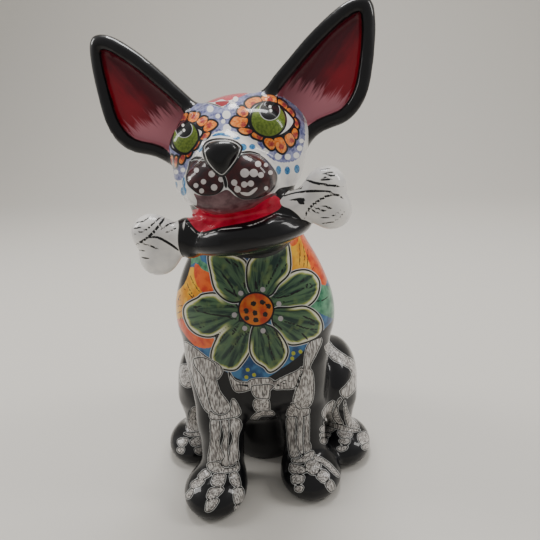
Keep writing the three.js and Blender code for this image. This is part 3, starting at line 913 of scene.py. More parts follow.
CHEST_BONES = (
    (
        ((229.2, 372), (235.7, 381.3), (249.8, 383), (250.9, 388.4), (240.1, 391.6), (234.7, 389.7), (231.4, 381.9)),
        ((273.2, 383.8), (283.5, 377.5), (297.6, 371), (301.4, 367.8), (303, 369.9), (298.6, 376.5),
         (294.3, 387.3), (283.5, 388.6), (274.2, 388.4)),
        ((250.9, 380), (270.4, 379), (272.6, 385.3), (261.8, 384.3), (250.4, 386.4)),
        ((254, 405.7), (256.3, 399.4), (267.2, 399.2), (269.1, 405.7), (268.3, 410.3), (258, 411.4)),
    ),
    (
        ((252, 387.5), (254.2, 386), (268.3, 384.9), (273.2, 386.4), (269.4, 390.6), (268.8, 397.1),
         (267.2, 398.4), (256.9, 397.3), (253.1, 392.7)),
        ((250.9, 419.8), (255.3, 414.4), (261.8, 411.5), (271.5, 411.5), (273.7, 414.6), (268.3, 415),
         (260.7, 415.5), (255.3, 420.5)),
    ),
)
CHEST_BONE_STROKES = (
    ((248.8, 384.8), (235.7, 384.9)),
    ((248.8, 386.6), (236.8, 388.4)),
    ((275.9, 385.1), (290, 377.5)),
    ((275.9, 386.8), (292.1, 380.8)),
)
LEFT_LEG_BONES = (
    (
        ((184.2, 343), (193.4, 347.3), (201, 353.3), (210.8, 360.2), (218.4, 364.5), (222.2, 371),
         (216.8, 378.8), (215.3, 366.7), (210.8, 361.3), (202.1, 357.8), (194.5, 359.1), (185, 359.1)),
        ((186.9, 360), (194.5, 361), (197.8, 369.9), (204.3, 378.6), (207.5, 392.7), (210.8, 410.1),
         (208.6, 412.2), (203.2, 405.7), (196.7, 388.4), (191.3, 372.1)),
        ((211.3, 420.4), (218.4, 419.8), (219.7, 431.8), (218.4, 442.6), (222.7, 453.5), (223.5, 458.9),
         (216.2, 460.5), (208.6, 461.1), (211.3, 440)),
        ((231.4, 418.8), (239, 419.8), (241.2, 426.3), (237.9, 435), (237.4, 448), (238.4, 457.8),
         (232.5, 464.3), (229.4, 463.2), (230.5, 448), (233.6, 437.2), (230.5, 427.4)),
    ),
    (
        ((194.5, 359.1), (202.1, 357.8), (210.8, 361.3), (215.7, 366.7), (215.7, 379.7), (219.5, 391.6),
         (226, 400.3), (229.8, 406.8), (228.1, 411.2), (221.6, 413.9), (215.1, 412.2), (210.8, 405.7),
         (207.5, 392.7), (204.3, 378.6), (197.8, 369.9), (194.5, 364.5)),
        ((221.5, 420.9), (227.5, 420.9), (228.1, 431.8), (227, 448), (228.6, 464.4), (223.7, 465.5),
         (221.5, 461.6), (224.8, 456.9), (222.6, 445.9), (224.7, 435)),
        ((208.1, 463.7), (218.4, 462.6), (223.8, 468.6), (235.7, 467.5), (237.4, 461), (238.5, 469.7),
         (229.2, 471.9), (218.4, 473), (209.7, 469.7)),
    ),
    (
        ((210.3, 411.1), (214, 414.3), (222.7, 415.5), (230.3, 410.6), (232.3, 399.8), (235.7, 401.9),
         (240.1, 411.2), (237.9, 415.5), (229.2, 417.9), (211.9, 419.3)),
        ((198.9, 475.2), (205.4, 469.7), (210.2, 474.1), (206.5, 477.5), (199.9, 478.9)),
        ((191.3, 483.8), (197.8, 479.4), (204.1, 480.5), (199.9, 485.9), (192.4, 488)),
        ((186, 495.2), (190.9, 489.2), (193.3, 490.3), (190.6, 496.8), (187.1, 498.1)),
        ((213, 478.4), (215.3, 474.5), (223.8, 474), (225.1, 477.3), (222.7, 484.9), (218.4, 486.2), (212.1, 483.8)),
        ((207.5, 495.1), (210.8, 488.7), (222.2, 487.9), (221.6, 491.9), (215.1, 497.3), (208.4, 498.6)),
        ((206.2, 505.5), (208.6, 500.2), (217.5, 499.4), (217.8, 502.2), (211.9, 509.9), (206.2, 511.2)),
        ((230.5, 474), (236.8, 472.9), (240.3, 484.9), (235.7, 486.2), (231.2, 481.7)),
        ((234.1, 489.3), (242.2, 488.3), (243.5, 496.8), (243, 501.2), (235.7, 503.4), (233.9, 494.7)),
        ((235.7, 506.5), (243.3, 504.9), (245, 508.2), (241.4, 512), (236.6, 511.2)),
    ),
)
RIGHT_LEG_BONES = (
    (
        ((306, 351.5), (309.1, 344), (316, 336), (321.3, 340), (316.9, 351.5), (309.5, 366.7), (312.2, 373.2),
         (313.5, 388.4), (311.6, 401.4), (307.3, 406.8), (299.7, 408.1), (294.3, 403.6), (294.8, 394.9),
         (299.7, 383), (304.1, 366.7)),
        ((287.3, 418.8), (294.8, 418.8), (294.5, 438.3), (298.6, 453.5), (296.5, 456.9), (290.5, 455.8), (287.8, 437.2)),
        ((305.2, 415.5), (308.6, 415.5), (308.6, 440.4), (310.6, 445.9), (308.6, 451.8), (305.2, 452.2),
         (303.9, 445.9), (305.2, 431.8)),
    ),
    (
        ((287.6, 412.5), (290, 406), (293.2, 403.3), (298.6, 409.5), (308.4, 408.4), (308, 414.4),
         (301.9, 416.3), (288.3, 415.7)),
        ((297.6, 417.7), (303.1, 417.7), (301.9, 437.2), (303, 449.1), (303.3, 454.8), (299.7, 451.3),
         (296.5, 440.4), (298.7, 427.4)),
        ((299.7, 459), (305.2, 454.7), (312.7, 451.2), (313.8, 456.9), (308.4, 461.1), (295.4, 462.4), (292.1, 459.6)),
    ),
    (
        ((290.2, 465.9), (292.1, 464), (304.1, 467.6), (303.7, 473), (291.1, 472)),
        ((291.9, 478.6), (292.7, 475.7), (303.2, 475.7), (303.2, 480.6), (299.7, 483.4), (293, 482.7)),
        ((295.6, 486.7), (300.8, 485.9), (303.2, 487.2), (300.8, 491.4), (296.3, 491)),
        ((306, 464.2), (311.7, 459.9), (319.5, 463.7), (319.5, 468.6), (314.9, 474.3), (308.2, 471.9)),
        ((316.9, 475.7), (322.5, 469.9), (328.1, 473.7), (328.1, 478.4), (323.6, 482.3), (319, 478.9)),
        ((326.6, 482.4), (331.2, 480.5), (334.7, 487.1), (331.2, 491.6), (326.6, 486.5)),
        ((316, 455.5), (327.9, 462.2), (338.7, 474.1), (336.5, 475.4), (324.7, 464.6), (314.7, 459)),
    ),
)
HIND_BONES = (
    (
        ((180, 366.7), (189.1, 365.6), (193.7, 373.2), (193.2, 383), (188, 387.1), (181, 381.9)),
        ((192.4, 409), (197.8, 407.9), (201.2, 423.1), (201.2, 430.7), (191.3, 432), (186.7, 428.5), (189.1, 418.8)),
        ((202.6, 410.1), (214, 407.9), (214, 420.9), (206.5, 425.8), (203.6, 420.9)),
        ((178, 440.7), (181.5, 438.3), (187.8, 439.4), (183.7, 446.1), (179.1, 445)),
        ((191.1, 440.6), (196.7, 437.1), (203.4, 438.2), (204.1, 442.6), (195.6, 446.1), (191.1, 443.8)),
        ((320.8, 333.4), (325.7, 337), (332.9, 346.8), (343.6, 354.8), (354, 362), (360, 373.6), (359, 382.5),
         (350, 395), (343.6, 396.3), (340.4, 391.4), (345.4, 386.1), (352, 377.1), (351, 369.2), (342.6, 363.9),
         (332.9, 359.4), (325.7, 350.6), (319.5, 352.4), (315.9, 358.7), (313.7, 372), (311, 368.2), (315, 352.1)),
        ((323, 412), (328.4, 403.9), (334.6, 400.8), (332, 409.3), (332, 416.4), (336.4, 421.8), (329.3, 420.9), (324.4, 417.3)),
        ((344.6, 400.4), (348.1, 412.9), (358.8, 426.2), (352.5, 428.9), (348.1, 425.4), (345.5, 418.2)),
        ((320.8, 428.5), (325.7, 425.5), (333.8, 427.7), (332, 431.2), (323, 431.7)),
        ((338.2, 431.2), (347.1, 430.8), (352.1, 433.9), (349.8, 437.1), (340.9, 437)),
        ((358.3, 434.7), (365, 432.1), (369.1, 439.6), (363.2, 444.3), (359.5, 441.6)),
    ),
    (
        ((184, 433.2), (196.7, 432.3), (212.8, 429), (212.8, 432.3), (202.1, 435.7), (190.4, 435.7)),
        ((178.1, 448.1), (183.7, 448.1), (182.6, 452.9), (178.1, 451.4)),
        ((195.4, 448.5), (203.2, 448), (202.1, 454), (196.5, 453.1)),
        ((335, 409.3), (339, 399.5), (341.7, 398.6), (337.2, 407.5), (339, 416.4), (342.6, 423.6), (337.2, 422.7), (332.9, 416.4)),
        ((325.7, 422.3), (340, 425), (352.5, 429), (359.9, 429.9), (351.6, 431.7), (338.2, 429), (325.7, 424.5)),
        ((320.8, 434.3), (328.4, 432.6), (329.5, 435.7), (322.1, 436.7)),
        ((321.2, 439), (326.8, 438.5), (325.7, 443), (321.7, 442.1)),
        ((340, 439.9), (349.4, 439), (348, 443.7), (341.3, 443)),
        ((337.8, 447.7), (347.1, 446.1), (345.4, 449.6), (340.4, 450.9)),
        ((362.1, 446.2), (367.7, 443.1), (369.4, 446.6), (364.6, 449.3)),
    ),
)
HIND_STROKES = (
    ((183.8, 374.3), (189.1, 376.5), (190.2, 379.7)),
    ((184.8, 383), (190.2, 381.9), (191.3, 378.6)),
    ((184, 370.5), (188.5, 371.5)),
    ((195.1, 412.2), (196.1, 430.7)),
    ((199.2, 414.4), (199.7, 430.7)),
)


def paint_bones(canvas, lists, facing):
    """Keeps each list of bones under its own name, only where the skin faces the front."""
    for turn, bones in enumerate(lists):
        shape = np.maximum(canvas.areas(bones), facing[canvas.chosen])
        canvas.keep(f"bones_{turn + 1}", shape)


def body_glaze(kiln, place):
    """The colours of the trunk, legs and tail."""
    wash = kiln.noise(place, 7, 3)
    fine = kiln.noise(place, 1.6, 2)
    blue = kiln.mixed(kiln.ramp(wash, 0.35, 0.65), glaze(24, 62, 104), glaze(60, 112, 152))
    yellow = kiln.mixed(kiln.ramp(wash, 0.35, 0.65), glaze(206, 132, 10), glaze(232, 176, 40))
    orange = kiln.mixed(kiln.ramp(wash, 0.35, 0.65), glaze(190, 52, 18), glaze(222, 100, 34))
    green = kiln.mixed(kiln.ramp(wash, 0.35, 0.65), glaze(40, 104, 76), glaze(96, 152, 118))
    colour = kiln.lay(BLACK, kiln.mark("bib"), blue)
    bibbed = colour
    for name, paint_colour in (("yellow", yellow), ("orange", orange), ("green", green)):
        bibbed = kiln.lay(bibbed, kiln.mark(name) + (fine - 0.5) * 1.2, paint_colour)
    bibbed = kiln.lay(bibbed, kiln.mark("lime_dots"), glaze(158, 160, 48))
    bibbed = kiln.lay(bibbed, kiln.mark("bib_strokes"), BLACK)
    off = kiln.spot("flower_place")
    away = kiln.node("ShaderNodeVectorMath", dict(operation="LENGTH"), {0: off}, "Value")
    heading = kiln.node("ShaderNodeVectorMath", dict(operation="NORMALIZE"), {0: off})
    fanned = kiln.node("ShaderNodeVectorMath", dict(operation="SCALE"), {0: heading, "Scale": 14})
    streaks = kiln.noise(kiln.node("ShaderNodeVectorMath", dict(operation="MULTIPLY_ADD"),
                                   {0: off, 1: (0.08, 0.08, 0.08), 2: fanned}), 1.6, 2)
    leaf = kiln.mixed(kiln.ramp(streaks, 0.36, 0.62), glaze(22, 46, 40), glaze(74, 102, 72))
    leaf = kiln.mixed(kiln.ramp(wash, 0.52, 0.75) * 0.6, leaf, glaze(104, 124, 70))
    for turn in (1, 2, 3):
        petal = kiln.mark(f"flower_{turn}")
        depth = petal + (streaks - 0.5) * 3
        tip = kiln.ramp(depth, -2.6, -1.2) * kiln.ramp(away, 17, 26)
        edge = kiln.ramp(depth, -1.6, -0.6) * kiln.ramp(away, 19, 27)
        shade = kiln.mixed(edge, kiln.mixed(tip, leaf, glaze(150, 158, 76)), glaze(206, 204, 182))
        bibbed = kiln.lay(bibbed, petal, shade, line=1.1, rim=0.4)
    bibbed = kiln.lay(bibbed, kiln.mark("flower_strokes") + (fine - 0.5) * 0.6, BLACK)
    bibbed = kiln.lay(bibbed, kiln.mark("flower_beads"), glaze(158, 152, 154))
    disc = kiln.mixed(kiln.ramp(wash, 0.35, 0.65), glaze(172, 56, 24), glaze(196, 110, 36))
    disc = kiln.lay(disc, kiln.mark("disc_spots") + (fine - 0.5) * 1.2, glaze(30, 26, 22))
    bibbed = kiln.lay(bibbed, kiln.mark("disc"), disc, line=1.2)
    colour = kiln.mixed(kiln.inside(kiln.mark("bib")), colour, bibbed)
    grain = kiln.noise(kiln.stretched(place, (0.9, 0.9, 6)), 1, 2)
    bone = kiln.mixed(kiln.ramp(grain, 0.42, 0.6), glaze(120, 115, 112), glaze(206, 202, 196))
    dark = kiln.ramp(kiln.noise(kiln.stretched(place, (0.8, 0.8, 9)), 1.2, 1), 0.62, 0.68)
    bone = kiln.mixed(dark * 0.75, bone, glaze(40, 38, 40))
    for turn in (1, 2, 3):
        colour = kiln.lay(colour, kiln.mark(f"bones_{turn}") + (fine - 0.5) * 0.5, bone, line=0.55, rim=0.3)
    return kiln.lay(colour, kiln.mark("bone_lines"), BLACK)


# Painted face: outlines and marks by the pixels where they show.

FACE_BACK = 6
WHITE_FACE = (
    (193.5, 101.3), (201.1, 96.5), (209.8, 93.6), (227, 88), (250.9, 86), (272.9, 88),
    (284.4, 92), (294, 97), (301.6, 105), (306.4, 116.6), (308.3, 132.8), (307.8, 152),
    (306.4, 166.3), (303.5, 175.9), (297.8, 183.6), (289.2, 186.4), (279.6, 188.3),
    (272.9, 195), (265.3, 203), (246.1, 208), (227, 209), (207.8, 207), (191.6, 205),
    (179.1, 205), (170, 192), (160, 171.1), (150, 152), (150, 138.6), (158, 122),
    (172, 108), (184.9, 102),
)
VIOLET = (
    (179.1, 110.8), (188.7, 105.6), (201.1, 101.7), (209.8, 102.7), (221.2, 107.5),
    (228.9, 103.2), (236.6, 98.4), (246.1, 94.1), (260.5, 91.7), (274.8, 92.7), (288.2, 97.4),
    (297.8, 106.1), (303.5, 116.6), (305, 130.9), (303.5, 146.2), (298.8, 157.7), (290.1, 162),
    (281.5, 162.5), (272.9, 159.6), (266.2, 153.9), (259.5, 146.2), (253.8, 140.5),
    (246.1, 135.7), (234.6, 131.9), (226, 130), (217.4, 131.9), (207.8, 135.7), (200.2, 141.5),
    (195.4, 150.1), (191.6, 157.7), (187.8, 166.3), (183.9, 176.9), (179.1, 180.7),
    (172, 176.9), (165, 166.3), (160, 152), (160, 138.6), (165, 124), (171, 115),
)
CROWN_RED = (
    (201.1, 100.3), (213.6, 95.5), (225.1, 90.5), (250, 89), (252, 91), (241.3, 96.5),
    (232.7, 99.4), (227, 100.8), (221.2, 99.4), (213.6, 102.2), (205, 101.7),
)
CROWN_DARK_RED = ((215, 102.7), (218.4, 101.3), (228.9, 101.1), (227, 104.1), (222.2, 106.5), (217.4, 105.1))
CROWN_LINES = (((200.2, 100.8), (207.8, 102.7), (214.5, 104.6), (222.2, 107.5)),)

# Petals round each eye, and the warm heart in each.
RIGHT_PETALS = (
    ((230.3, 122.8), (233.2, 118), (236.6, 116.6), (241.3, 117.5), (247.6, 118.5), (247.1, 123.3),
     (244.2, 127.1), (237.5, 127.1), (232.7, 125.7)),
    ((237.5, 110.8), (239.9, 107), (243.3, 106.5), (246.6, 108.9), (249.5, 110.8), (248, 114.7),
     (244.7, 117.1), (240.9, 116.1), (238, 113.7)),
    ((245.2, 102.7), (248.5, 99.4), (254.3, 97.4), (259, 97.4), (261.4, 99.8), (261, 102.7),
     (255.7, 107), (252.3, 108.9), (249, 108.4), (246.1, 105.6)),
    ((261.4, 97.4), (266.2, 95), (272, 95), (276.3, 97.4), (276.3, 103.7), (272, 104.1),
     (267.2, 102.7), (262.9, 100.8)),
    ((278.2, 99.4), (281.5, 100.3), (285.4, 103.2), (287.3, 106.5), (285.8, 109.4), (281.5, 106.5), (278.2, 103.2)),
    ((286.8, 108.9), (289.7, 108), (292.5, 110.8), (294.4, 114.7), (293, 117.1), (289.2, 114.2), (286.8, 111.3)),
    ((294, 118.5), (296.4, 119.4), (298.3, 123.3), (298.3, 127.6), (296.8, 128.1), (294.4, 124.2)),
    ((294, 128.1), (296.8, 129.5), (297.8, 132.8), (297.3, 137.6), (295.4, 138.6), (293, 134.8), (291.6, 131.9)),
    ((284.9, 136.2), (288.7, 133.3), (291.6, 133.8), (294.4, 138.6), (294, 143.4), (291.1, 146.2),
     (288.2, 144.8), (285.4, 140.5)),
    ((274.4, 138.6), (278.7, 137.2), (282.5, 138.1), (285.8, 144.3), (286.3, 149.1), (283.4, 152.9),
     (279.6, 152), (276.3, 148.2), (274.4, 142.4)),
    ((264.3, 140), (267.2, 137.6), (272.9, 139.5), (274.8, 143.4), (274.4, 148.2), (271, 149.6),
     (267.2, 146.7), (264.8, 143.4)),
    ((251.9, 133.8), (255.7, 131.9), (260.5, 133.8), (262.9, 137.2), (261.4, 140), (256.7, 138.6), (252.8, 136.7)),
    ((238.5, 129.5), (241.3, 128.1), (247.1, 128.5), (251.9, 130), (251.4, 132.8), (246.1, 134.3), (241.3, 132.8)),
)
LEFT_PETALS = (
    ((178.7, 118.5), (181.1, 113.7), (185.8, 112.8), (187.8, 114.2), (185.8, 119.4), (182.5, 122.3), (179.6, 121.8)),
    ((188.2, 118.5), (189.2, 113.7), (192.5, 112.3), (198.3, 112.8), (199.2, 115.6), (196.8, 120.4),
     (192.5, 122.1), (188.7, 121.4)),
    ((196.8, 121.4), (200.2, 118), (204.5, 116.6), (207.4, 118.5), (206.4, 122.8), (202.1, 126.1), (198.8, 125.2)),
    ((203.5, 128.1), (205.9, 123.3), (209.8, 120.4), (214.5, 121.4), (216.9, 124.2), (213.6, 128.1),
     (207.8, 131.4), (204.5, 130.9)),
    ((199.7, 138.6), (202.1, 134.8), (206.9, 132.4), (209.8, 132.8), (207.8, 136.7), (203.1, 139.5)),
    ((192.5, 149.1), (194.4, 144.3), (197.8, 140.5), (199.7, 141.5), (198.3, 145.3), (194.9, 149.1)),
    ((186.3, 155.8), (187.8, 152), (189.7, 150.1), (191.6, 151), (190.6, 154.9), (187.8, 157.2)),
    ((179.1, 160.6), (180.6, 156.8), (183.4, 153.4), (185.4, 154.9), (184.4, 159.6), (182, 163.5), (179.6, 163)),
    ((174.2, 161.6), (175.3, 156.8), (177.2, 156.8), (177.2, 162.5), (175.8, 167.3), (174.4, 165.9)),
    ((170.3, 158.7), (171.3, 155.3), (172.9, 156.8), (173.2, 161.6), (172.4, 166.3), (171, 165.4)),
    ((168.1, 138.6), (169.1, 132.8), (171, 131.9), (170.5, 138.6), (169.1, 143.4)),
    ((170.5, 130), (172, 124.2), (175.3, 120.4), (177.2, 120.9), (176.3, 125.2), (172.4, 130)),
)
PETAL_HEARTS = (
    (243.3, 124.7), (243.3, 112.8), (253.3, 104.6), (270, 99.4), (284.4, 104.6), (291.1, 112.3),
    (296.8, 123.3), (295.4, 134.8), (291.6, 140.5), (281.5, 146.2), (271.5, 143.9),
    (259.5, 137.2), (249.5, 131.4), (183.4, 117.5), (193.5, 116.6), (202.6, 120.4), (209.3, 125.2),
    (204, 136.2), (195.9, 144.8), (188.7, 152.9), (182.5, 157.2), (175.8, 160.6), (172, 160.6), (173.9, 125.2),
)

# Eyes.
RIGHT_EYE = (
    (249.3, 118), (250.5, 110.5), (255, 105.3), (262, 102.8), (270, 102.6), (278, 104.8), (284.4, 109.9),
    (290.5, 116), (293.8, 121.4), (290, 128.5), (282.5, 134), (273, 136.8), (263, 135.6), (255, 131), (250.6, 125),
)
LEFT_EYE = (
    (171.5, 146), (173, 136), (175.5, 128), (180, 122.5), (186.5, 121.8), (193, 124.5), (198, 128.5),
    (202.6, 132), (198.5, 139), (193.5, 147), (187, 153.2), (180.5, 152.8), (176, 150.5),
)
RIGHT_IRIS = dict(at=(268.6, 119.4), wide=9.2, high=9.0)
LEFT_IRIS = dict(at=(185.1, 137.2), wide=6.9, high=8.5)
RIGHT_PUPIL = dict(at=(269.9, 110.1), wide=5.4, high=5.3)
LEFT_PUPIL = dict(at=(183.9, 128.9), wide=4.5, high=4.6)
# Painted highlights: two small white dots on each pupil stand in for the lamps' reflections in the glazed eyes.
GLINTS = ((270, 106.6), (270.8, 110.6), (183, 125.2), (183.9, 130.3))

# Dots and dashes.
WHITE_DOTS = (
    ((210.2, 108.9), 1.9), ((217.9, 116.1), 1.3), ((226.5, 114.7), 2.3), ((232.7, 104.6), 1.7), ((223.2, 121.4), 1.2),
    ((227, 128.1), 2.2), ((235.6, 99), 1.5), ((266.2, 151), 1.7), ((278.2, 156.3), 1.9), ((287.8, 156.8), 1.7),
    ((296.4, 155.3), 1.7), ((299.7, 148.2), 1.6), ((301.6, 141), 1.3), ((176, 172), 1.3), ((183, 170), 1.3),
    ((255.2, 141.5), 1.3),
)
PAD_DOTS = (
    ((196.4, 170.2), 1.3), ((211.7, 174), 1.7), ((221.2, 179.3), 1.5), ((203.5, 181.7), 1.4), ((195.9, 185.5), 1.3),
    ((201.6, 190.9), 1.3), ((214.1, 187.4), 1.7), ((258.1, 163.9), 1.6), ((266, 164.9), 1.1), ((244.7, 173), 2.3),
    ((253.8, 173), 2.1), ((261, 175), 1.5), ((270.5, 172.6), 1.2), ((234.2, 182.6), 1.6), ((244.2, 184.5), 1.6),
    ((250.9, 183.6), 1.6), ((237.5, 189.3), 1.7), ((266.2, 188.3), 1.1), ((189.5, 178), 0.9),
)
PAD_SMILE = (((241.3, 193.1), (249, 194.1), (256.7, 188.3)),)
BLUE_DOTS = (
    ((236.6, 138.1), 1.9, 0.9), ((242.8, 147.2), 2.1, 1.9), ((252.3, 146.7), 1.7, 1.5), ((199.7, 148.2), 1.5, 2.1),
    ((278.5, 170.2), 1.5, 2.5), ((287.3, 170.5), 1.6, 2.3), ((297, 169), 1.6, 2.5), ((175.8, 185.5), 1.1, 2.2),
    ((183.4, 191.2), 1.7, 2.6), ((183.9, 182.6), 0.9, 3.2),
)
BLUE_DASHES = (
    ((200.5, 141.4), (203.6, 138.2), (208.3, 135.9)),
    ((213, 135.6), (217.5, 134.4), (222.2, 134.2), (229.3, 136.2)),
)

# Snout: nose, whisker pads, lip and tongue.
NOSE = (
    (205, 151), (205.9, 145.3), (211.7, 141.7), (221.2, 140.7), (232.7, 142.4), (239.4, 146.7),
    (239.4, 150.1), (235.6, 158.7), (227, 170.2), (221.2, 174.2), (213.6, 168.3), (207.8, 160.6),
)
LEFT_PAD = (
    (190.1, 163.5), (191.6, 161.5), (204, 161.8), (207.8, 166.3), (213.6, 171.6), (221.2, 176.2),
    (223.2, 180.7), (221.2, 189.3), (213.6, 194.1), (201.1, 194.1), (192.5, 188.3), (188.2, 183.6),
    (186.8, 176.9), (188.7, 169.2),
)
RIGHT_PAD = (
    (240.9, 156.5), (246.1, 154.2), (255.7, 154.6), (264.3, 159.2), (272.9, 169.2), (276.3, 176.9),
    (273.9, 186.4), (266.2, 194.1), (254.7, 197.9), (241.3, 197.9), (232.7, 190.3), (228.9, 186.4),
    (225.6, 179.7), (226, 173), (233.7, 164.4),
)
SNOUT_STROKES = (
    ((191.1, 160.1), (196.4, 157.7), (204.5, 159.4)),
    ((241.8, 152.8), (250.9, 151.9), (260, 154.4)),
    ((222.7, 175), (225.1, 180.7), (226, 187.4)),
)
LIP = (
    (193.7, 193.3), (200.8, 195.5), (217.1, 193.5), (227.3, 189.7), (237.6, 197.3), (251.8, 198.9),
    (262, 197), (276, 193), (272, 203.5), (251.8, 212), (231.4, 217), (217.1, 217), (203, 213),
    (197, 208), (196.7, 200.4),
)
TONGUE_AREA = (
    (185.5, 214.7), (189.6, 211), (202.9, 208), (221.2, 208), (243.7, 206), (258, 200),
    (270.2, 195), (278.5, 197.5), (281.5, 203.5), (277.3, 210.6), (251.8, 220.8), (221.2, 226.9),
    (204.9, 231.5), (197.8, 231), (190.6, 222.9),
)
TONGUE_EDGE = (
    (185.5, 214.7), (189.6, 212.7), (202.9, 213.7), (221.2, 216.7), (243.7, 213.7), (258, 204.5),
    (270.2, 197.3), (277.3, 198.4), (281.5, 203.5), (277.3, 210.6), (251.8, 220.8), (221.2, 226.9),
    (204.9, 231.5), (197.8, 231), (190.6, 222.9),
)
LIP_LINES = (
    ((184.8, 221.5), (191.8, 229.3), (199.5, 234.4), (209, 233.5), (220.5, 229.6), (241.6, 227.2),
     (256, 223.6), (270, 217), (278.5, 211.8)),
)


def paint_face(skull, jaw):
    q = in_head(skull.points)
    front = q[:, 1] - FACE_BACK
    skull.keep("white_face", np.maximum(skull.area(WHITE_FACE), front))
    skull.keep("violet", np.maximum(skull.area(VIOLET), front))
    skull.keep("crown_red", np.minimum(skull.area(CROWN_RED), FAR))
    skull.keep("crown_dark_red", skull.area(CROWN_DARK_RED))
    skull.keep("petals_one", np.maximum(skull.areas(RIGHT_PETALS[::2] + LEFT_PETALS[::2]), front))
    skull.keep("petals_two", np.maximum(skull.areas(RIGHT_PETALS[1::2] + LEFT_PETALS[1::2]), front))
    skull.keep("petal_hearts", np.maximum(skull.spots(PETAL_HEARTS, 1.5), front))
    skull.keep("eyes", skull.areas((RIGHT_EYE, LEFT_EYE)))
    for name, pair in dict(irises=(RIGHT_IRIS, LEFT_IRIS), pupils=(RIGHT_PUPIL, LEFT_PUPIL)).items():
        skull.keep(name, np.min([skull.spots([one["at"]], one["wide"], one["high"]) for one in pair], 0))
    skull.keep("glints", skull.spots(GLINTS, 0.75, 0.9))
    skull.keep("white_dots", np.maximum(np.min([skull.spots([at], r) for at, r in WHITE_DOTS], 0), front))
    skull.keep("blue_marks", np.minimum(
        np.min([skull.spots([at], wide, high) for at, wide, high in BLUE_DOTS], 0),
        skull.strokes(BLUE_DASHES, 2.6)))
    skull.keep("nose", skull.area(NOSE))
    skull.keep("pads", skull.areas((LEFT_PAD, RIGHT_PAD)))
    dots = np.min([skull.spots([at], r) for at, r in PAD_DOTS], 0)
    skull.keep("pad_dots", np.minimum(dots, skull.strokes(PAD_SMILE, 2)))
    skull.keep("snout_strokes", np.minimum(skull.strokes(SNOUT_STROKES, 1.7), skull.strokes(CROWN_LINES, 0.9)))
    skull.keep("lip", np.maximum(skull.area(LIP), front))
    jaw.keep("tongue", jaw.area(TONGUE_AREA))
    skull.keep("tongue", skull.area(TONGUE_EDGE))
    jaw.keep("lip_lines", jaw.strokes(LIP_LINES, 0.9))


# Painted bone: black strokes along it, by the pixels where they show.

BONE_STROKES = (
    ((136, 244.5), (147.8, 237.5), (158, 226.8), (165.5, 216.6)),
    ((148.9, 237.5), (158, 237.5), (170.8, 244.5), (181, 252)),
    ((306.3, 179.9), (318.8, 183.7), (345.3, 187)),
    ((278.7, 198.4), (291.7, 193.5), (307.9, 191.3), (330.2, 190.8)),
    ((304.7, 218.4), (307.9, 210.3), (316.1, 202.2), (329.6, 195.1), (337.8, 195.1), (343.7, 198.9)),
)
BONE_HATCH = (
    ((132.8, 234.8), (145.7, 230), (153.7, 223), (162.3, 215.5)),
    ((133.4, 228.9), (144, 226.2)),
    ((135, 223), (144, 220.9), (149.4, 216.6)),
    ((134.4, 220.4), (144, 214.5)),
    ((161.2, 229.7), (169.8, 223.6), (180.5, 221.4)),
    ((165.5, 232.7), (178.3, 227.3)),
    ((139.8, 245.5), (149.4, 245.5), (160.1, 250.3)),
    ((137, 250.5), (146, 250.5)),
    ((139.5, 257.5), (149, 258.5)),
    ((319.9, 170), (330, 168.6)),
    ((321, 173.5), (334, 172)),
    ((322, 177), (336, 175.6)),
    ((320, 180), (332, 179.2)),
    ((285, 186.6), (302.5, 186.2)),
    ((287.3, 190.2), (302, 188.6)),
    ((273.5, 191.8), (279.8, 190.8)),
    ((286.8, 201.3), (300.4, 198.4), (306.9, 200.5)),
    ((296.6, 202.7), (305.2, 199.8)),
    ((295.5, 205.7), (304.7, 203.8)),
    ((311.2, 212.5), (318.8, 207.6), (327.5, 206)),
    ((316.1, 213.5), (332.9, 207.5)),
    ((320.4, 217.9), (332.3, 216.3), (340.5, 209.7)),
    ((321.5, 223.6), (335, 221.1), (344.8, 211.4)),
)
MOUTH = (
    (184.6, 213), (190, 206), (220, 200), (262, 190), (279.5, 196.5), (283, 204), (292, 208), (302, 217),
    (302, 226), (250, 250), (200, 255), (180, 246), (183, 225),
)


def paint_bone(bone):
    bone.keep("mouth", bone.area(MOUTH))
    bone.keep("bone_strokes", np.minimum(bone.strokes(BONE_STROKES, 1.5), bone.strokes(BONE_HATCH, 1.1)))


def paint_ears(ears):
    """Keeps, for the nearer ear, the distance from the hollow's edge and the place in the ear."""
    q = in_head(np.float32(ears.points))
    each = [in_ear(q, ear) for ear in EAR_FRAMES]
    left = q[:, 0] < 0
    place = np.where(left[:, None], each[0], each[1])
    x, y, z = place.T
    depth = y + EAR["bow"] * (x - EAR["bow_middle"]) ** 2
    hollow = to_line(x, z, EAR_LINE) + EAR["rim"]
    ears.keep("ear_hollow", np.maximum(hollow, depth - 1))
    places["ear_place"] = np.zeros((ears.all, 3))
    places["ear_place"][ears.chosen] = place


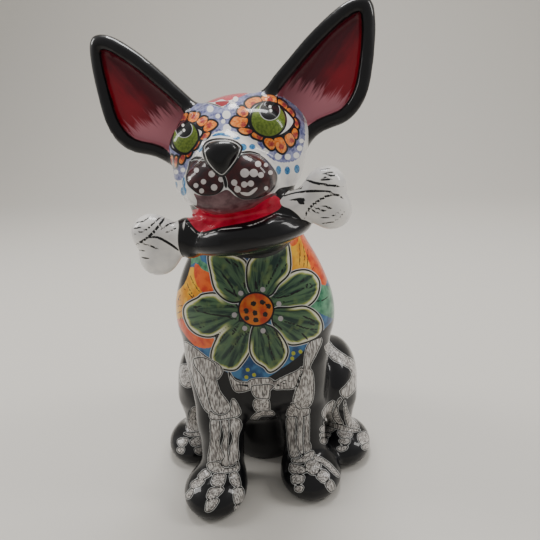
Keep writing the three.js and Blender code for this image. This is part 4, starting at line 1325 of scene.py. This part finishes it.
def face_glaze(kiln, place):
    """The colours of the skull."""
    wash = kiln.noise(place, 5, 3)
    fine = kiln.noise(place, 1.3, 2)
    white = kiln.mixed(kiln.ramp(wash, 0.35, 0.7), WHITE, glaze(218, 216, 216))
    violet = kiln.mixed(kiln.ramp(wash + fine * 0.5, 0.55, 0.9), glaze(66, 70, 122), glaze(146, 150, 186))
    orange = kiln.mixed(kiln.ramp(fine, 0.35, 0.65), glaze(222, 108, 24), glaze(238, 150, 74))
    heart = kiln.mixed(kiln.ramp(fine, 0.4, 0.6), glaze(150, 48, 48), glaze(176, 74, 60))
    green = kiln.mixed(kiln.ramp(fine, 0.3, 0.7), glaze(78, 98, 26), glaze(108, 126, 44))
    brown = kiln.mixed(kiln.ramp(wash, 0.35, 0.65), glaze(62, 22, 24), glaze(34, 20, 24))
    blue = kiln.mixed(kiln.ramp(fine, 0.35, 0.65), glaze(22, 88, 142), glaze(74, 142, 186))

    colour = kiln.lay(BLACK, kiln.mark("white_face"), white)
    colour = kiln.lay(colour, kiln.mark("violet") + (fine - 0.5) * 1.5, violet)
    colour = kiln.lay(colour, kiln.mark("crown_red"), glaze(186, 58, 74))
    colour = kiln.lay(colour, kiln.mark("crown_dark_red"), glaze(150, 20, 38))
    colour = kiln.lay(colour, kiln.mark("white_dots"), WHITE)
    colour = kiln.lay(colour, kiln.mark("blue_marks"), blue)
    petals = kiln.mark("petals_one").least(kiln.mark("petals_two"))
    colour = kiln.mixed(kiln.inside(petals, 1.1), colour, BLACK)
    petal = kiln.mixed(kiln.inside(kiln.mark("petal_hearts") + (fine - 0.5) * 1.6, 0, 0.6), orange, heart)
    colour = kiln.mixed(kiln.inside(petals, -0.05), colour, petal)
    eyes = kiln.mark("eyes")
    irises = kiln.mark("irises")
    eyeball = kiln.lay(white, irises, green, line=1.1)
    pupils = kiln.mark("pupils")
    eyeball = kiln.lay(eyeball, pupils, BLACK, rim=0.35)
    # Painted highlights: white dots on the pupils, in place of the lamps' reflections.
    eyeball = kiln.lay(eyeball, kiln.mark("glints"), WHITE)
    colour = kiln.lay(colour, eyes + 0.3, eyeball, line=1.2)
    colour = kiln.lay(colour, kiln.mark("pads"), brown, line=0.6, rim=0.35)
    colour = kiln.lay(colour, kiln.mark("pad_dots"), glaze(196, 190, 188))
    colour = kiln.lay(colour, kiln.mark("snout_strokes"), BLACK, rim=0.25)
    colour = kiln.lay(colour, kiln.mark("nose"), BLACK, line=1.5)
    colour = kiln.lay(colour, kiln.mark("nose"), BLACK, rim=0.4)
    # Painted shade: the lip under the pads is a pinkish glaze laid dark, as it shows in the shade under the snout.
    lip = kiln.mixed(kiln.ramp(wash, 0.3, 0.7), glaze(112, 82, 86), glaze(74, 44, 50))
    return kiln.mixed(kiln.inside(kiln.mark("lip").most(0.6 - kiln.mark("pads"))), colour, lip)


def ear_glaze(kiln, place):
    """Crimson at the tip, feathered into pink near the head, inside a black rim, and darker on the hollow's inner side
    as painted shade.
    """
    local = kiln.spot("ear_place")
    across = kiln.node("ShaderNodeSeparateXYZ", {}, {0: local}, 0)
    up = kiln.node("ShaderNodeSeparateXYZ", {}, {0: local}, 2)
    streaks = kiln.noise(kiln.stretched(local, (1.3, 3, 16)), 1, 2)
    patches = kiln.noise(kiln.stretched(local, (5, 5, 14)), 1, 2)
    height = up + (streaks - 0.5) * 26 - across * 0.3
    # Painted shade: the pink and the crimson both darken towards the ear's inner side, where the hollow lies in shade;
    # the patches in the crimson are the glaze's own uneven tone.
    pink = kiln.mixed(kiln.ramp(across, -14, 16), glaze(132, 70, 82), glaze(206, 130, 142))
    red = kiln.mixed(kiln.ramp(across + patches * 16, 8, 26), glaze(76, 16, 30), glaze(150, 22, 38))
    inner = kiln.mixed(kiln.ramp(height, 18, 27), pink, red)
    return kiln.lay(BLACK, kiln.mark("ear_hollow"), inner)


def mouth_glaze(kiln, place):
    wash = kiln.noise(place, 6, 3)
    red = kiln.mixed(kiln.ramp(wash, 0.35, 0.65), glaze(176, 14, 46), glaze(200, 40, 66))
    mouth = kiln.lay(BLACK, kiln.mark("lip_lines"), RIM)
    return kiln.lay(mouth, kiln.mark("tongue"), red), red


def painted_glaze():
    kiln = Kiln("painted_and_glazed")
    place = kiln.place()
    colour = body_glaze(kiln, place)
    head = face_glaze(kiln, place)
    mouth, red = mouth_glaze(kiln, place)
    head = kiln.lay(head, kiln.mark("tongue"), red)
    head = kiln.mixed(kiln.inside(kiln.mark("jaw_lead")), head, mouth)
    head = kiln.mixed(kiln.inside(kiln.mark("ear_lead")), head, ear_glaze(kiln, place))
    wash = kiln.noise(place, 8, 2)
    bone = kiln.mixed(kiln.ramp(wash, 0.35, 0.7), WHITE, glaze(214, 212, 210))
    bone = kiln.lay(bone, kiln.mark("bone_strokes"), BLACK)
    head = kiln.mixed(kiln.inside(kiln.mark("bone_lead").most(-1 - kiln.mark("mouth"))), head, bone)
    colour = kiln.mixed(kiln.inside(kiln.mark("head_lead")), colour, head)
    kiln.put(kiln.surface.inputs["Base Color"], colour)
    fire(kiln)
    return kiln.material


def fire(kiln):
    """The clear glaze that every colour lies under."""
    surface = kiln.surface.inputs
    surface["Roughness"].default_value = 0.4
    surface["Specular IOR Level"].default_value = 0.1
    surface["Coat Weight"].default_value = 1
    surface["Coat Roughness"].default_value = 0.04
    surface["Coat IOR"].default_value = 1.32


CLOSE = 5


def paint(skin):
    """Makes every mark and keeps them as attributes of the skin."""
    count = len(skin.data.vertices)
    flat = np.empty(count * 3)
    skin.data.vertices.foreach_get("co", flat)
    points = to_form(flat.reshape(-1, 3))
    skin.data.vertices.foreach_get("normal", flat)
    to_camera = np.array(camera_place()) - points
    to_camera /= length(to_camera)[:, None]
    facing = -(flat.reshape(-1, 3) * to_camera).sum(-1) * 12
    q = in_head(np.float32(points))
    skull, jaw, bone, ears = skull_form(q), jaw_form(q), bone_form(q), ears_form(q)
    body = body_form(np.float32(points))

    def canvas(chosen, form):
        return Canvas(points, form, chosen)

    whole = canvas(np.full(count, True), figure)
    whole.keep("jaw_lead", jaw - skull)
    whole.keep("ear_lead", ears - np.minimum(skull, jaw))
    whole.keep("bone_lead", bone - np.minimum(skull, jaw))
    whole.keep("head_lead", np.min([skull, jaw, bone, ears], 0) - body)
    mouth = canvas((jaw < CLOSE) | (bone < CLOSE), lambda p: np.minimum(jaw_form(in_head(p)), bone_form(in_head(p))))
    paint_face(canvas(skull < CLOSE, lambda p: skull_form(in_head(p))), mouth)
    paint_bone(canvas(bone < CLOSE, lambda p: bone_form(in_head(p))))
    paint_ears(canvas(ears < CLOSE, lambda p: ears_form(in_head(p))))
    x, y, z = points.T
    low = body < CLOSE
    paint_chest(canvas(low & (z > 84) & (y < BIB_BACK + FAR), body_form))
    middle = canvas(low & (y < -30) & (z > 50) & (z < 110) & (np.abs(x - TRUNK_X) < 32), body_form)
    paint_bones(middle, CHEST_BONES, facing)
    middle.keep("bone_lines", middle.strokes(CHEST_BONE_STROKES, 0.8))
    for paw, bones in zip(FRONT_PAWS, (LEFT_LEG_BONES, RIGHT_LEG_BONES)):
        near = front_leg_form(np.float32(points), *paw) < CLOSE
        leg = canvas(near & (y < -12) & (x * paw[0] > 0), body_form)
        paint_bones(leg, bones, facing)
    hind = canvas(low & (np.abs(x) > 36) & (y > -34) & (z < 112), body_form)
    paint_bones(hind, HIND_BONES, facing)
    hind.keep("bone_lines", hind.strokes(HIND_STROKES, 1))
    for name, values in marks.items():
        attribute = skin.data.attributes.new(name, "FLOAT", "POINT")
        attribute.data.foreach_set("value", np.float32(values))
    for name, values in places.items():
        attribute = skin.data.attributes.new(name, "FLOAT_VECTOR", "POINT")
        attribute.data.foreach_set("vector", np.float32(values).ravel())


marks = {}
places = {}




# Stage: a pale table that sweeps up behind, soft lights and the camera.

def make_camera():
    across, top, forward, _, _ = look_axes()
    data = bpy.data.cameras.new("camera")
    data.sensor_width = 36
    data.lens = data.sensor_width * CAMERA["focal"] / PICTURE
    data.clip_start = 0.01
    camera = bpy.data.objects.new("camera", data)
    turned = Matrix((across, top, -forward)).transposed().to_4x4()
    camera.matrix_world = Matrix.Translation(to_frame(camera_place())) @ turned
    bpy.context.scene.collection.objects.link(camera)
    bpy.context.scene.camera = camera


SWEEP = dict(width=6, front=-3, back=0.9, bend=0.7, height=3, steps=16)
LIGHTS = (
    dict(name="left_window", at=(-0.9, 0.05, 0.75), size=(0.25, 0.5), power=5, colour=(1, 0.985, 0.96)),
    dict(name="right_window", at=(0.9, 0.0, 0.8), size=(0.2, 0.5), power=4, colour=(1, 0.98, 0.95)),
    dict(name="top_box", at=(0.0, 0.3, 1.15), size=(0.5, 0.35), power=9, colour=(1, 1, 1)),
    dict(name="backdrop_light", at=(0.2, 0.5, 1.6), size=(1.6, 0.6), power=8, colour=(1, 0.99, 0.97), aim=(0.2, 1.6, 0.5)),
)


def make_table():
    """A flat table that bends up into a wall behind."""
    profile = [(SWEEP["front"], 0)]
    for i in range(SWEEP["steps"] + 1):
        angle = math.pi / 2 * i / SWEEP["steps"]
        profile.append((SWEEP["back"] + SWEEP["bend"] * math.sin(angle), SWEEP["bend"] * (1 - math.cos(angle))))
    profile.append((SWEEP["back"] + SWEEP["bend"], SWEEP["height"]))
    half = SWEEP["width"] / 2
    verts = [(x, y, z) for y, z in profile for x in (-half, half)]
    faces = [(i, i + 1, i + 3, i + 2) for i in range(0, len(verts) - 2, 2)]
    mesh = bpy.data.meshes.new("table")
    mesh.from_pydata(verts, [], faces)
    mesh.shade_smooth()
    table = bpy.data.objects.new("table", mesh)
    bpy.context.scene.collection.objects.link(table)
    material = bpy.data.materials.new("pale_table")
    material.use_nodes = True
    shader = material.node_tree.nodes["Principled BSDF"]
    shader.inputs["Base Color"].default_value = (0.62, 0.595, 0.55, 1)
    shader.inputs["Roughness"].default_value = 0.55
    shader.inputs["Specular IOR Level"].default_value = 0.3
    mesh.materials.append(material)
    return table


def make_lights():
    for spec in LIGHTS:
        data = bpy.data.lights.new(spec["name"], "AREA")
        data.shape = "RECTANGLE"
        data.size, data.size_y = spec["size"]
        data.energy = spec["power"]
        data.color = spec["colour"]
        light = bpy.data.objects.new(spec["name"], data)
        light.location = spec["at"]
        aim = Vector(spec.get("aim", (0, 0, 0.15)))
        light.rotation_mode = "QUATERNION"
        light.rotation_quaternion = (aim - Vector(spec["at"])).to_track_quat("-Z", "Y")
        light.visible_camera = False
        bpy.context.scene.collection.objects.link(light)
    world = bpy.data.worlds.new("studio")
    world.use_nodes = True
    sky = world.node_tree.nodes["Background"]
    sky.inputs["Color"].default_value = (1, 0.985, 0.96, 1)
    sky.inputs["Strength"].default_value = 0.5
    bpy.context.scene.world = world


skin = make_skin()
paint(skin)
skin.data.materials.append(painted_glaze())
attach(skin, "root")
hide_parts(NODE)

make_table()
make_lights()
make_camera()
